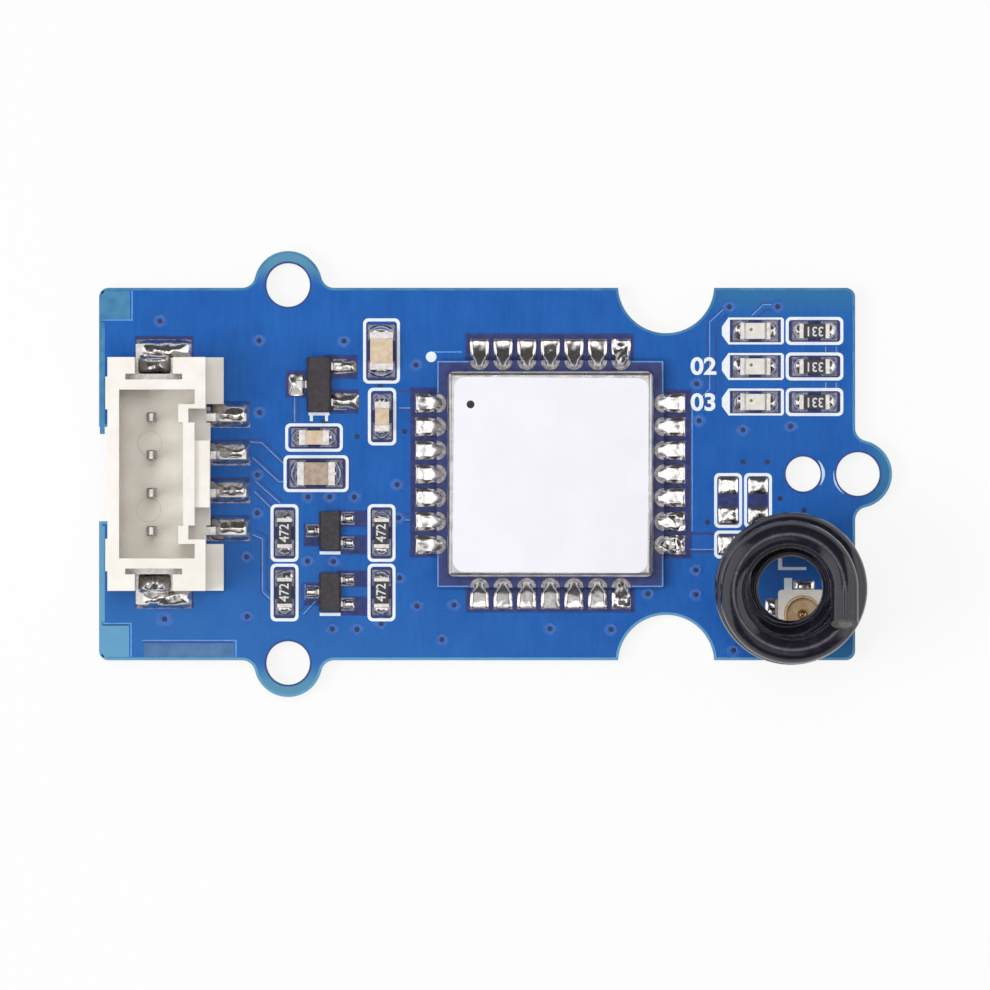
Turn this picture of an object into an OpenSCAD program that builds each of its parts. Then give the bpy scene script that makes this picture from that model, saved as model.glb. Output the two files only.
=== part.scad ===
// Radio transceiver board: a blue circuit board with a four way plug socket,
// a shielded radio module, indicator lights and a wound wire antenna.
// Millimetres. The underside of the board is z = 0, the board's long way is X,
// and the origin is the middle of the board with its end ear.

/* [Board] */
// Length of the circuit board without its end ear
board_length = 40; // [39.5:0.1:60]
// Width of the circuit board without its side ears
board_width = 19.7; // [19.4:0.1:24]
// Thickness of the circuit board
board_thickness = 1.6; // [0.8:0.1:2.4]
// Corner radius of the circuit board
board_corner = 0.5; // [0.2:0.1:1.5]

/* [Ears and edge cuts] */
// Diameter of the screw hole in each ear
ear_hole = 2.3; // [1.8:0.1:2.8]
// Width of the ring of board round each screw hole
ear_ring = 0.65; // [0.5:0.05:1.2]
// Distance between the screw holes across the board
ear_spacing = 20; // [19.5:0.1:24]
// Distance of the side ears from the left end of the board
ear_from_left = 10; // [8.5:0.1:12]
// How far the end ear's hole lies past the right end of the board
end_ear_reach = 0.15; // [0:0.05:1.5]
// Radius of the hollow corner where an ear meets the edge
ear_fillet = 0.7; // [0.3:0.1:1]
// Radius of the round scoop in each long edge
scoop_radius = 2.55; // [2:0.05:3]
// Distance of the scoops from the left end of the board
scoop_from_left = 30; // [29.5:0.1:30.5]
// Width of the notch in the left end
notch_width = 5; // [3:0.1:6]
// Depth of the notch in the left end
notch_depth = 0.8; // [0.4:0.1:1.2]
// Diameter of the locating hole near the end ear
locating_hole = 1.85; // [1:0.05:2.2]
// Distance of the locating hole from the right end of the board
locating_from_right = 2.75; // [2:0.05:3.2]

/* [Copper and print] */
// Thickness of the copper pads with their tin
pad_thickness = 0.04; // [0.03:0.01:0.08]
// Thickness of the white print
print_thickness = 0.03; // [0.02:0.01:0.05]
// Width of a printed line
print_line = 0.16; // [0.12:0.02:0.24]
// How far a pad reaches past the metal that sits on it
pad_margin = 0.2; // [0.1:0.05:0.25]

/* [Plug socket] */
// Distance of the socket's back wall from the left end of the board
socket_from_left = 0.5; // [0.3:0.05:1]
// Height of the socket above the board
socket_height = 6.4; // [5:0.1:8]
// Distance between neighbouring pins
pin_pitch = 2; // [1.8:0.05:2.1]
// Width of a square pin
pin_width = 0.5; // [0.4:0.05:0.6]
// Length of a pin inside the cavity
pin_length = 4.4; // [3:0.1:5]
// Width of the cavity
cavity_width = 3.36; // [3:0.02:3.8]
// Distance from an outer pin to the end of the cavity
cavity_end_room = 1.45; // [1.4:0.05:1.6]
// Thickness of the long side walls
socket_wall = 0.62; // [0.45:0.01:0.7]
// Thickness of the wall between the cavity and a fixing tab
socket_end_wall = 0.54; // [0.4:0.02:0.7]
// Thickness of the socket's floor
socket_floor = 1.1; // [1:0.1:1.6]
// Length of each end block past the end wall
end_block = 1.18; // [1:0.02:1.5]
// Height of the low flange on the lead side
flange_height = 1.2; // [0.8:0.1:2]
// How far the low flange reaches past the end block
flange_reach = 0.92; // [0.5:0.02:1.2]
// Thickness of a fixing tab
tab_thickness = 0.3; // [0.2:0.05:0.4]
// Width of a fixing tab's foot
tab_width = 2; // [1.6:0.1:2.4]

/* [Radio module] */
// Side of the square module board
module_side = 12; // [11.8:0.1:12.6]
// Thickness of the module board
module_thickness = 0.8; // [0.6:0.1:1.2]
// Distance of the module's centre from the left end of the board
module_from_left = 23.87; // [23.7:0.05:24.1]
// Distance between neighbouring terminals
terminal_pitch = 1.25; // [1.1:0.05:1.3]
// Width of a terminal
terminal_width = 0.9; // [0.7:0.05:0.95]
// Radius of the half hole in each terminal
half_hole = 0.36; // [0.25:0.01:0.4]
// Side of the square shield can
can_side = 10.9; // [10.5:0.1:11]
// Height of the shield can above the module board
can_height = 1.7; // [1.5:0.1:2.5]
// Thickness of the can's sheet
can_sheet = 0.15; // [0.1:0.01:0.2]
// Corner radius of the can seen from above
can_corner = 0.45; // [0.3:0.05:0.8]
// Radius of the can's folded top edge
can_fold = 0.3; // [0.15:0.05:0.35]
// Side of the square label
label_side = 10.3; // [9.5:0.1:10.3]
// Side of the square radio chip
chip_side = 5; // [4:0.1:6]
// Height of the radio chip
chip_height = 0.85; // [0.6:0.05:1.1]

/* [Small parts] */
// Length of a large capacitor
large_chip_length = 2; // [1.8:0.05:2.1]
// Width of a large capacitor
large_chip_width = 1.25; // [1.1:0.05:1.3]
// Height of a large capacitor
large_chip_height = 1.1; // [0.8:0.05:1.4]
// Length of a small capacitor, a resistor and a light
small_chip_length = 1.6; // [1.4:0.05:1.65]
// Width of a small capacitor, a resistor and a light
small_chip_width = 0.8; // [0.7:0.05:0.85]
// Height of a small capacitor
small_chip_height = 0.8; // [0.6:0.05:1]
// Height of a resistor
resistor_height = 0.45; // [0.35:0.05:0.6]
// Length of the metal end on a capacitor
chip_end = 0.36; // [0.2:0.02:0.4]
// Length of the metal end on a resistor and a light
thin_end = 0.22; // [0.16:0.02:0.4]
// Thickness of the metal end on a chip part
chip_plating = 0.03; // [0.02:0.01:0.05]
// Width of a light
light_width = 0.92; // [0.7:0.02:0.96]
// Thickness of the base of a light
light_base = 0.3; // [0.2:0.05:0.4]
// Height of the lens of a light
light_lens = 0.4; // [0.3:0.05:0.6]
// Distance between the rows of the lights
light_pitch = 1.88; // [1.8:0.02:2]

/* [Antenna] */
// Diameter of the insulated wire
wire_diameter = 1.45; // [1.2:0.05:1.6]
// Diameter of the bare wire end
bare_diameter = 0.9; // [0.7:0.05:1]
// Rise of the coil in one turn
coil_pitch = 2.1; // [1.9:0.05:3]
// Mean radius of the top turn
coil_top_radius = 2.8; // [2.7:0.05:3]
// Mean radius of the widest turn
coil_wide_radius = 3.3; // [3.1:0.05:3.4]
// Mean radius of the narrowest turn
coil_narrow_radius = 2.42; // [2.4:0.02:2.7]
// Length of the straight cut end at the top
coil_tail = 2.1; // [1:0.1:2.5]
// Distance of the coil's axis from the right end of the board
coil_from_right = 3.45; // [3.3:0.05:3.6]
// Distance of the coil's axis below the middle line of the board
coil_offset = 6.05; // [5.9:0.05:6.2]
// Diameter of the round shell of the coax socket
coax_shell = 2; // [1.8:0.05:2.1]
// Height of the coax socket above the board
coax_height = 1.25; // [1.1:0.05:1.4]
// Side of the square base of the coax socket
coax_side = 2.6; // [2.4:0.05:2.7]

/* [Hidden] */
$fn = 48;

// Gap between round surfaces that face each other
fit = 0.02;
ear_radius = ear_hole / 2 + ear_ring;
board_left = -(board_length + end_ear_reach + ear_radius) / 2;
board_right = board_left + board_length;
board_top = board_thickness;
pad_top = board_top + pad_thickness;

// Colours
mask_blue = [0.16, 0.38, 0.70];
print_white = [0.90, 0.94, 1.00];
tin = [0.80, 0.80, 0.82];
gold = [0.85, 0.68, 0.35];
mould_white = [0.95, 0.94, 0.90];
mould_black = [0.16, 0.15, 0.17];
ceramic_tan = [0.84, 0.74, 0.60];
ceramic_white = [0.92, 0.92, 0.90];
lens_cream = [0.93, 0.90, 0.84];
sheet_gray = [0.67, 0.66, 0.63];
module_navy = [0.16, 0.15, 0.42];
wire_black = [0.07, 0.07, 0.08];

// Plain shapes

module rounded_square(width, length, radius) {
    square([width - 2 * radius, length], center = true);
    square([width, length - 2 * radius], center = true);
    for (x = [-1, 1], y = [-1, 1])
        translate([x * (width / 2 - radius), y * (length / 2 - radius)]) circle(radius);
}

module box(x0, x1, y0, y1, z0, z1) {
    translate([x0, y0, z0]) cube([x1 - x0, y1 - y0, z1 - z0]);
}

// A profile in X and Z, drawn out along Y and centred on it
module slice(width) {
    translate([0, width / 2, 0]) rotate([90, 0, 0]) linear_extrude(width) children();
}

// The hollow curve of solder that wets a wall and a pad, from its thin toe to its top
module solder_fillet(run, rise, width) {
    toe = 0.04;
    steps = 5;
    curve = [for (i = [0:steps]) let (a = 90 * i / steps)
        [run * (1 - sin(a)), toe + (rise - toe) * (1 - cos(a))]];
    slice(width) polygon(concat([[0, 0], [run, 0]], curve));
}

// Circuit board

module ear_at(x, y, turn, beyond) {
    half = sqrt(pow(ear_radius + ear_fillet, 2) - pow(ear_fillet - beyond, 2));
    touch = beyond + ear_radius * (ear_fillet - beyond) / (ear_radius + ear_fillet);
    translate([x, y]) rotate(turn) {
        circle(ear_radius);
        difference() {
            translate([-half, -beyond - ear_radius]) square([2 * half, ear_radius + touch]);
            for (side = [-1, 1])
                translate([side * half, ear_fillet - beyond]) circle(ear_fillet);
        }
    }
}

module board_outline() {
    beyond = (ear_spacing - board_width) / 2;
    difference() {
        union() {
            translate([(board_left + board_right) / 2, 0])
                rounded_square(board_length, board_width, board_corner);
            ear_at(board_left + ear_from_left, ear_spacing / 2, 0, beyond);
            ear_at(board_left + ear_from_left, -ear_spacing / 2, 180, beyond);
            ear_at(board_right + end_ear_reach, 0, -90, end_ear_reach);
        }
        for (side = [-1, 1])
            translate([board_left + scoop_from_left, side * ear_spacing / 2])
                circle(scoop_radius);
        translate([board_left, 0]) rounded_square(2 * notch_depth, notch_width, 0.25);
    }
}

function coil_x() = board_right - coil_from_right;
function coil_y() = -coil_offset;

module circuit_board() {
    color(mask_blue)
    difference() {
        linear_extrude(board_thickness) board_outline();
        for (side = [-1, 1])
            translate([board_left + ear_from_left, side * ear_spacing / 2, -1])
                cylinder(d = ear_hole, h = board_thickness + 2);
        translate([board_right + end_ear_reach, 0, -1])
            cylinder(d = ear_hole, h = board_thickness + 2);
        translate([board_right - locating_from_right, 0, -1])
            cylinder(d = locating_hole, h = board_thickness + 2);
        translate([leg_x, leg_y, -1])
            cylinder(d = bare_diameter + 2 * fit, h = board_thickness + 2);
    }
}

// Places of the small parts: distance from an end, height on the board, turn

regulator_at = [board_left + 11.63, 4.74];
transistor_at = [[board_left + 12.22, -2.99], [board_left + 12.22, -6.24]];
capacitor_at = [
    [board_left + 14.94, 6.51, 90], [board_left + 14.97, 3.04, 90],
    [board_left + 11.37, 1.93, 0], [board_left + 11.48, 0.02, 0]
];
capacitor_large = [true, false, false, true];
light_x = board_right - 5.28;
light_top_y = 7.57;
resistor_at = concat(
    [for (x = [9.81, 14.94], y = [-3.12, -6.27]) [board_left + x, y, 90]],
    [for (i = [0:2]) [board_right - 2.15, light_top_y - i * light_pitch, 0]]
);
light_at = [for (i = [0:2]) [light_x, light_top_y - i * light_pitch, 0]];
bare_pads_at = [[board_right - 6.72, -1.4, 90], [board_right - 5.14, -1.4, 90],
                [board_right - 6.01, -3.73, 0]];

function chip_length(large) = large ? large_chip_length : small_chip_length;
function chip_width(large) = large ? large_chip_width : small_chip_width;

// Chip parts: a body with a metal cup on each end

module chip_body(length, width, height) {
    t = chip_plating;
    translate([0, 0, height / 2])
        cube([length - 2 * t, width - 2 * t, height - 2 * t], center = true);
}

module chip_ends(length, width, height, metal) {
    for (side = [0, 1]) mirror([side, 0, 0])
        difference() {
            box(length / 2 - metal, length / 2, -width / 2, width / 2, 0, height);
            chip_body(length, width, height);
        }
}

module chip_pads(length, width) {
    for (side = [0, 1]) mirror([side, 0, 0])
        box(length / 2 - chip_end - pad_margin / 2, length / 2 + 2 * pad_margin,
            -width / 2 - pad_margin / 2, width / 2 + pad_margin / 2, 0, pad_thickness);
}

module chip_fillets(length, width, height) {
    for (side = [0, 1]) mirror([side, 0, 0])
        translate([length / 2, 0, 0])
            solder_fillet(1.6 * pad_margin, 0.8 * height, 0.92 * width);
}

module place(at, z) {
    translate([at[0], at[1], z]) rotate(at[2]) children();
}

module capacitor_body(i) {
    large = capacitor_large[i];
    color(ceramic_tan) place(capacitor_at[i], pad_top)
        chip_body(chip_length(large), chip_width(large),
                  large ? large_chip_height : small_chip_height);
}

module capacitor_ends(i) {
    large = capacitor_large[i];
    color(tin) place(capacitor_at[i], pad_top)
        chip_ends(chip_length(large), chip_width(large),
                  large ? large_chip_height : small_chip_height, chip_end);
}

module resistor_body(i) {
    color(mould_black) place(resistor_at[i], pad_top)
        chip_body(small_chip_length, small_chip_width, resistor_height);
}

module resistor_ends(i) {
    color(tin) place(resistor_at[i], pad_top)
        chip_ends(small_chip_length, small_chip_width, resistor_height, thin_end);
}

module light_body(i) {
    color(ceramic_white) place(light_at[i], pad_top)
        chip_body(small_chip_length, light_width, light_base);
}

module light_ends(i) {
    color(tin) place(light_at[i], pad_top)
        chip_ends(small_chip_length, light_width, light_base, thin_end);
}

// The lens seats on the base between the two metal ends
module light_lens_block(i) {
    half = small_chip_length / 2 - thin_end - 0.02;
    draft = 0.06;
    color(lens_cream) place(light_at[i], pad_top + light_base - chip_plating)
        slice(light_width - 2 * chip_plating)
            polygon([[-half, 0], [half, 0], [half - draft, light_lens], [draft - half, light_lens]]);
}

// Packages with bent leads

// Size of a package: body across, body along, body height, lead width, reach, lead spacing
regulator_size = [1.3, 2.9, 1.05, 0.4, 1.2, 1.9];
transistor_size = [1.15, 2.05, 0.9, 0.28, 1.0, 1.3];
lead_thickness = 0.13;
package_gap = 0.08;

module package_body(size) {
    half = size[0] / 2;
    middle = size[2] / 2;
    draft = 0.09;
    color(mould_black) slice(size[1])
        polygon([[draft - half, package_gap], [half - draft, package_gap], [half, middle],
                 [half - draft, size[2]], [draft - half, size[2]], [-half, middle]]);
}

module bent_lead(size) {
    start = size[0] / 2;
    middle = size[2] / 2;
    t = lead_thickness;
    knee = start + 0.12;
    foot = knee + 0.14;
    color(tin) slice(size[3])
        polygon([[start, middle], [knee - 0.03, middle], [foot - 0.1, t + 0.04],
                 [foot, t], [size[4], t], [size[4], 0], [foot - 0.1, 0], [foot - 0.17, 0.05],
                 [knee - 0.1, middle - t], [start, middle - t]]);
}

module at_leads(size) {
    translate([0, size[5] / 2, 0]) children();
    translate([0, -size[5] / 2, 0]) children();
    mirror([1, 0, 0]) children();
}

// The body is cut back round each lead's root, so the two meet face to face
module package_leads(size) {
    at_leads(size) bent_lead(size);
}

module package_pads(size) {
    at_leads(size)
        box(size[4] - 0.45, size[4] + 1.4 * pad_margin, -size[3] / 2 - pad_margin,
            size[3] / 2 + pad_margin, 0, pad_thickness);
}

module package_fillets(size) {
    at_leads(size) translate([size[4], 0, 0])
        solder_fillet(1.1 * pad_margin, lead_thickness * 1.2, size[3] * 1.1);
}

// Pads, solder and print that belong to the small parts

module at_each_package() {
    $size = regulator_size;
    translate(concat(regulator_at, [0])) children();
    for (at = transistor_at) {
        $size = transistor_size;
        translate(concat(at, [0])) children();
    }
}

// Gap between two bare pads, how far they reach from their middle, and their width
bare_pad_gap = 0.68;
bare_pad_end = small_chip_length / 2 + 0.44;
bare_pad_width = small_chip_width + 0.22;

module bare_pads() {
    for (at = bare_pads_at, side = [0, 1])
        place(at, board_top) mirror([side, 0, 0])
            box(bare_pad_gap / 2, bare_pad_end, -bare_pad_width / 2, bare_pad_width / 2,
                0, pad_thickness);
}

module solder_pads() {
    color(tin) {
        translate([0, 0, board_top]) at_each_package() package_pads($size);
        for (i = [0:3]) place(capacitor_at[i], board_top)
            chip_pads(chip_length(capacitor_large[i]), chip_width(capacitor_large[i]));
        for (at = resistor_at) place(at, board_top)
            chip_pads(small_chip_length, small_chip_width);
        for (at = light_at) place(at, board_top) chip_pads(small_chip_length, light_width);
        bare_pads();
        module_pads();
        socket_pads();
        coax_pads();
        leg_pad();
    }
}

// A low dome of solder on a pad that carries no part
module solder_mound(width, height) {
    radius = (width * width / 4 + height * height) / (2 * height);
    intersection() {
        translate([0, 0, height - radius]) sphere(radius);
        translate([0, 0, height]) cube([width, width, 2 * height], center = true);
    }
}

module part_solder() {
    mound_at = (bare_pad_gap / 2 + bare_pad_end) / 2;
    mound_width = 0.96 * (bare_pad_end - bare_pad_gap / 2);
    color(tin) {
        translate([0, 0, pad_top]) at_each_package() package_fillets($size);
        for (i = [0:3]) place(capacitor_at[i], pad_top)
            chip_fillets(chip_length(capacitor_large[i]), chip_width(capacitor_large[i]),
                         capacitor_large[i] ? large_chip_height : small_chip_height);
        for (at = resistor_at) place(at, pad_top)
            chip_fillets(small_chip_length, small_chip_width, resistor_height);
        for (at = light_at) place(at, pad_top)
            chip_fillets(small_chip_length, light_width, light_base);
        for (at = bare_pads_at, side = [-1, 1])
            place(at, pad_top) translate([side * mound_at, 0, 0])
                solder_mound(mound_width, 0.28);
        socket_fillets();
        coax_fillets();
        leg_fillet();
    }
}

// White print

module print_box(at, length, width) {
    radius = 0.28;
    place(at, board_top) linear_extrude(print_thickness) difference() {
        rounded_square(length, width, radius);
        rounded_square(length - 2 * print_line, width - 2 * print_line, radius - print_line * 0.7);
    }
}

module print_bar(x0, x1, y0, y1) {
    box(x0, x1, y0, y1, board_top, board_top + print_thickness);
}

// A light's box, whose end on the minus side is filled and comes to a blunt point
module light_print(at) {
    room_x = small_chip_length / 2 + 2 * pad_margin + 0.15;
    half = light_width / 2 + 0.14 + 0.7 * print_line;
    end = room_x + print_line;
    corner = 0.1;
    shoulder = room_x + 0.07;
    tip = room_x + 0.42;
    tip_half = 0.3 * half;
    place(at, board_top) linear_extrude(print_thickness) difference() {
        polygon([[-shoulder, -half], [end - corner, -half], [end, corner - half],
                 [end, half - corner], [end - corner, half], [-shoulder, half],
                 [-tip, tip_half], [-tip, -tip_half]]);
        square([2 * room_x, light_width + 0.28], center = true);
    }
}

// The corner line and the bar beside the coax socket
module coax_print() {
    corner_x = board_right - 4.08;
    corner_y = -5.08;
    print_bar(corner_x, corner_x + 1.5, corner_y, corner_y + print_line);
    print_bar(corner_x, corner_x + 0.22, corner_y + print_line, corner_y + 0.62);
    print_bar(corner_x + 0.32, corner_x + 0.74, corner_y - 1.12, corner_y - 0.42);
}

// The bar below the regulator, with its two stubs
module regulator_print() {
    top = regulator_at[1] - bar_drop(regulator_at) - print_line;
    stub_at = 0.4;
    for (side = [-1, 1])
        translate([regulator_at[0] + side * stub_at, 0, 0])
            print_bar(-print_line / 2, print_line / 2, top - 0.3, top);
}

module silkscreen() {
    clear = 1.45;
    small_width = small_chip_width + 0.68;
    color(print_white) {
        coax_print();
        regulator_print();
        for (i = [0:3])
            print_box(capacitor_at[i], chip_length(capacitor_large[i]) + clear,
                      chip_width(capacitor_large[i]) + 0.7);
        for (i = [0:6])
            print_box(resistor_at[i], small_chip_length + clear, small_width);
        for (at = light_at) light_print(at);
        for (at = bare_pads_at)
            print_box(at, 2 * bare_pad_end + 0.1 + 2 * print_line,
                      bare_pad_width + 0.14 + 2 * print_line);
        for (at = concat([regulator_at], transistor_at))
            print_bar(at[0] - 0.55, at[0] + 0.55, at[1] - bar_drop(at) - print_line,
                      at[1] - bar_drop(at));
        translate([module_x() - module_side / 2 - 0.3, module_side / 2 + 0.2, board_top])
            cylinder(r = 0.28, h = print_thickness);
    }
}

function bar_drop(at) = at == regulator_at ? regulator_size[1] / 2 + 0.03
                                           : transistor_size[1] / 2 + 0.08;

// Radio module

terminals_a_side = 7;
function module_x() = board_left + module_from_left;
function module_base() = pad_top + pad_thickness;
function module_top() = module_base() + module_thickness;

module module_frame() {
    translate([module_x(), 0, 0]) children();
}

// Each terminal in turn, with X pointing out of the module's edge
module at_terminals() {
    for (turn = [0:90:270], i = [0:terminals_a_side - 1])
        rotate(turn) translate([module_side / 2, (i - (terminals_a_side - 1) / 2) * terminal_pitch, 0])
            children();
}

module module_board() {
    color(module_navy) module_frame() difference() {
        translate([0, 0, module_base()])
            linear_extrude(module_thickness) rounded_square(module_side, module_side, 0.2);
        at_terminals() translate([0, 0, module_base() - 1])
            cylinder(r = half_hole, h = module_thickness + 2);
    }
}

module half_tube(outer, inner, height) {
    difference() {
        cylinder(r = outer, h = height);
        translate([0, 0, -1]) cylinder(r = inner, h = height + 2);
        translate([0, -outer - 1, -1]) cube([outer + 1, 2 * outer + 2, height + 2]);
    }
}

module terminal_land(depth) {
    difference() {
        box(-depth, 0, -terminal_width / 2, terminal_width / 2, 0, pad_thickness);
        translate([0, 0, -1]) cylinder(r = half_hole - 0.06, h = 2);
    }
}

module module_terminals() {
    wall = 0.05;
    color(gold) module_frame() at_terminals() {
        translate([0, 0, module_base()])
            half_tube(half_hole - fit / 4, half_hole - wall, module_thickness);
        translate([0, 0, module_top()])
            half_tube(half_hole + 0.14, half_hole - 0.06, pad_thickness);
        translate([0, 0, pad_top]) terminal_land(0.9);
    }
}

module module_pads() {
    inner = 0.9;
    outer = 1.15;
    module_frame() at_terminals()
        box(-inner, outer, -terminal_width / 2 - 0.05, terminal_width / 2 + 0.05,
            board_top, pad_top);
}

module module_solder() {
    run = 0.95;
    color(tin) module_frame() at_terminals() translate([0, 0, pad_top]) {
        solder_fillet(run, module_thickness * 1.02, terminal_width * 0.9);
        difference() {
            cylinder(r = half_hole - 0.05 - fit, h = module_thickness);
            translate([0, -1, -1]) cube([2, 2, 4]);
        }
    }
}

// A slab with its two top edges rounded
module folded_slab(side, fold, height) {
    slice(side + 2) {
        translate([-side / 2, 0]) square([side, height - fold]);
        translate([-side / 2 + fold, 0]) square([side - 2 * fold, height]);
        for (x = [-1, 1]) translate([x * (side / 2 - fold), height - fold]) circle(fold);
    }
}

// A block with rounded corners in plan and a rounded top edge
module can_form(side, corner, fold, height) {
    intersection() {
        linear_extrude(height) rounded_square(side, side, corner);
        folded_slab(side, fold, height);
        rotate(90) folded_slab(side, fold, height);
    }
}

module shield_can() {
    t = can_sheet;
    color(sheet_gray) module_frame() translate([0, 0, module_top() + pad_thickness])
        difference() {
            can_form(can_side, can_corner, can_fold, can_height);
            translate([0, 0, -1])
                can_form(can_side - 2 * t, can_corner - t, can_fold - t / 2, can_height - t + 1);
        }
}

module can_label() {
    color([0.95, 0.95, 0.96]) module_frame()
        translate([0.02, -0.05, module_top() + pad_thickness + can_height]) rotate(-0.4)
            linear_extrude(0.06) rounded_square(label_side, label_side, 0.6);
}

module radio_chip() {
    color(mould_black) module_frame()
        translate([-1.2, -0.8, module_top() + chip_height / 2])
            cube([chip_side, chip_side, chip_height], center = true);
}

module module_crystals() {
    color(sheet_gray) module_frame() {
        translate([3.3, 2.6, module_top()]) linear_extrude(0.7) rounded_square(2, 1.6, 0.15);
        translate([-2.6, 3.6, module_top()]) linear_extrude(0.6) rounded_square(2, 1.2, 0.15);
    }
}

module module_inductors() {
    color(ceramic_white) module_frame()
        for (x = [2.6, 3.7], y = [-3.6, -2.2, -0.8])
            translate([x, y, module_top() + 0.25]) cube([0.5, 1, 0.5], center = true);
}

// Plug socket

socket_pins = 4;
key_reach = 0.8;
key_half = 1.77;
ledge_height = 1.3;
step_half = 2.72;
function pin_row() = (socket_pins - 1) * pin_pitch;
function cavity_half() = pin_row() / 2 + cavity_end_room;
function end_wall_half() = cavity_half() + socket_end_wall;
function socket_half() = end_wall_half() + end_block;
function cavity_right() = socket_wall + cavity_width;
function wall_right() = cavity_right() + socket_wall;
function block_right() = wall_right() + 0.58;
function pin_x() = socket_wall + cavity_width / 2;
function pin_foot_x() = block_right() + flange_reach + 1.2;
function tab_middle() = cavity_right() / 2 + 0.45;

module socket_frame() {
    translate([board_left + socket_from_left, 0, pad_top]) children();
}

module both_ends() {
    children();
    mirror([0, 1, 0]) children();
}

module pin_profile() {
    w = pin_width;
    knee = block_right() + 0.45;
    riser = 0.32;
    polygon([[pin_x() - w / 2, riser], [pin_x() - w / 2, socket_floor + pin_length - w / 3],
             [pin_x() - w / 5, socket_floor + pin_length],
             [pin_x() + w / 5, socket_floor + pin_length],
             [pin_x() + w / 2, socket_floor + pin_length - w / 3],
             [pin_x() + w / 2, riser + w], [knee, riser + w], [knee + riser, w],
             [pin_foot_x(), w], [pin_foot_x(), 0], [knee + riser / 2, 0],
             [knee - riser / 2, riser]]);
}

module pin_solid(i) {
    translate([0, ((socket_pins - 1) / 2 - i) * pin_pitch, 0]) slice(pin_width) pin_profile();
}

module socket_pin(i) {
    color(gold) socket_frame() pin_solid(i);
}

// A fixing tab: a plate in the slit of the end block, with a foot on its pad
module tab_solid() {
    plate = 1.5 * tab_width;
    middle = tab_middle();
    y0 = end_wall_half();
    rise = 3.6;
    foot_end = socket_half() + 0.72;
    box(middle - plate / 2, middle + plate / 2, y0, y0 + tab_thickness, 0.6, rise);
    box(middle - tab_width / 2, middle + tab_width / 2, y0, y0 + tab_thickness, 0, 0.7);
    box(middle - tab_width / 2, middle + tab_width / 2, y0, foot_end, 0, tab_thickness);
}

module socket_tabs() {
    color(tin) socket_frame() both_ends() tab_solid();
}

module socket_body() {
    h = socket_height;
    rib = 0.12;
    both_ends() {
        box(0, block_right(), step_half + 0.73, socket_half(), 0, h);
        box(block_right(), block_right() + flange_reach, step_half + 0.98, socket_half(),
            0, flange_height);
        box(-rib, 0, step_half + 0.7, end_wall_half() + 0.15, 0, h * 0.85);
        box(wall_right(), wall_right() + key_reach, key_half, step_half, 0, ledge_height);
        box(wall_right() - 0.33, block_right(), step_half, step_half + 0.73, 0, ledge_height);
    }
    box(0, wall_right(), -step_half, step_half, 0, h);
    box(0, wall_right() - 0.33, -step_half - 1, step_half + 1, 0, h);
    box(wall_right(), wall_right() + key_reach, -key_half, key_half, 0, h * 0.92);
}

module socket_cavity() {
    h = socket_height;
    box(socket_wall, cavity_right() - 0.25, -cavity_half(), cavity_half(), socket_floor, h + 1);
    box(socket_wall, cavity_right(), -step_half, step_half, socket_floor, h + 1);
    both_ends()
        box(socket_wall, cavity_right() + 0.62, cavity_half() - 0.75, cavity_half(),
            socket_floor, h + 1);
}

module tab_space() {
    h = socket_height;
    plate = 1.5 * tab_width;
    middle = tab_middle();
    box(middle - plate / 2, middle + plate / 2, end_wall_half(),
        end_wall_half() + tab_thickness, -1, h + 1);
    box(middle - tab_width / 2, middle + tab_width / 2, end_wall_half(), socket_half() + 1,
        -1, h + 1);
}

module socket_housing() {
    color(mould_white) socket_frame() difference() {
        socket_body();
        socket_cavity();
        both_ends() tab_space();
        for (i = [0:socket_pins - 1]) {
            pin_solid(i);
            translate([0, ((socket_pins - 1) / 2 - i) * pin_pitch, 0])
                box(pin_x() - pin_width / 2, pin_foot_x(), -pin_width / 2, pin_width / 2,
                    -1, 0.32);
        }
    }
}

module socket_pads() {
    plate = 1.45 * tab_width;
    middle = tab_middle() + 0.5;
    translate([board_left + socket_from_left, 0, board_top]) {
        for (i = [0:socket_pins - 1])
            translate([0, ((socket_pins - 1) / 2 - i) * pin_pitch, 0])
                box(block_right(), pin_foot_x() + pad_margin, -0.55, 0.55,
                    0, pad_thickness);
        both_ends()
            box(middle - plate / 2, middle + plate / 2, end_wall_half(), socket_half() + 0.95,
                0, pad_thickness);
    }
}

module socket_fillets() {
    middle = tab_middle();
    knee = block_right() + 0.61;
    socket_frame() {
        for (i = [0:socket_pins - 1], side = [0, 1])
            translate([(knee + pin_foot_x()) / 2, ((socket_pins - 1) / 2 - i) * pin_pitch, 0])
                mirror([0, side, 0]) translate([0, pin_width / 2, 0]) rotate(90)
                    solder_fillet(0.14, pin_width * 0.9, pin_foot_x() - knee - 0.1);
        both_ends()
            translate([middle, socket_half() + 0.72, 0]) rotate(90)
                solder_fillet(0.15, tab_thickness * 0.9, tab_width * 1.1);
    }
}

// Coax socket

coax_x = board_right - 2.78;
coax_y = -7.42;
coax_base_height = 0.35;

module coax_frame(z) {
    translate([coax_x, coax_y, z]) children();
}

module coax_base() {
    color(mould_white) coax_frame(pad_top) difference() {
        linear_extrude(coax_base_height) rounded_square(coax_side, coax_side, 0.2);
        translate([0, 0, -1]) cylinder(d = 0.5 + 2 * fit, h = 3);
    }
}

module coax_ring() {
    wall = 0.12;
    lip = 0.1;
    r = coax_shell / 2;
    h = coax_height - coax_base_height;
    color(gold) coax_frame(pad_top + coax_base_height) rotate_extrude()
        polygon([[r - wall, 0], [r, 0], [r, h * 0.35], [r - 0.06, h * 0.45], [r - 0.06, h * 0.6],
                 [r, h * 0.7], [r, h - 0.08], [r - 0.05, h], [r - wall, h],
                 [r - wall, lip]]);
}

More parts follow.
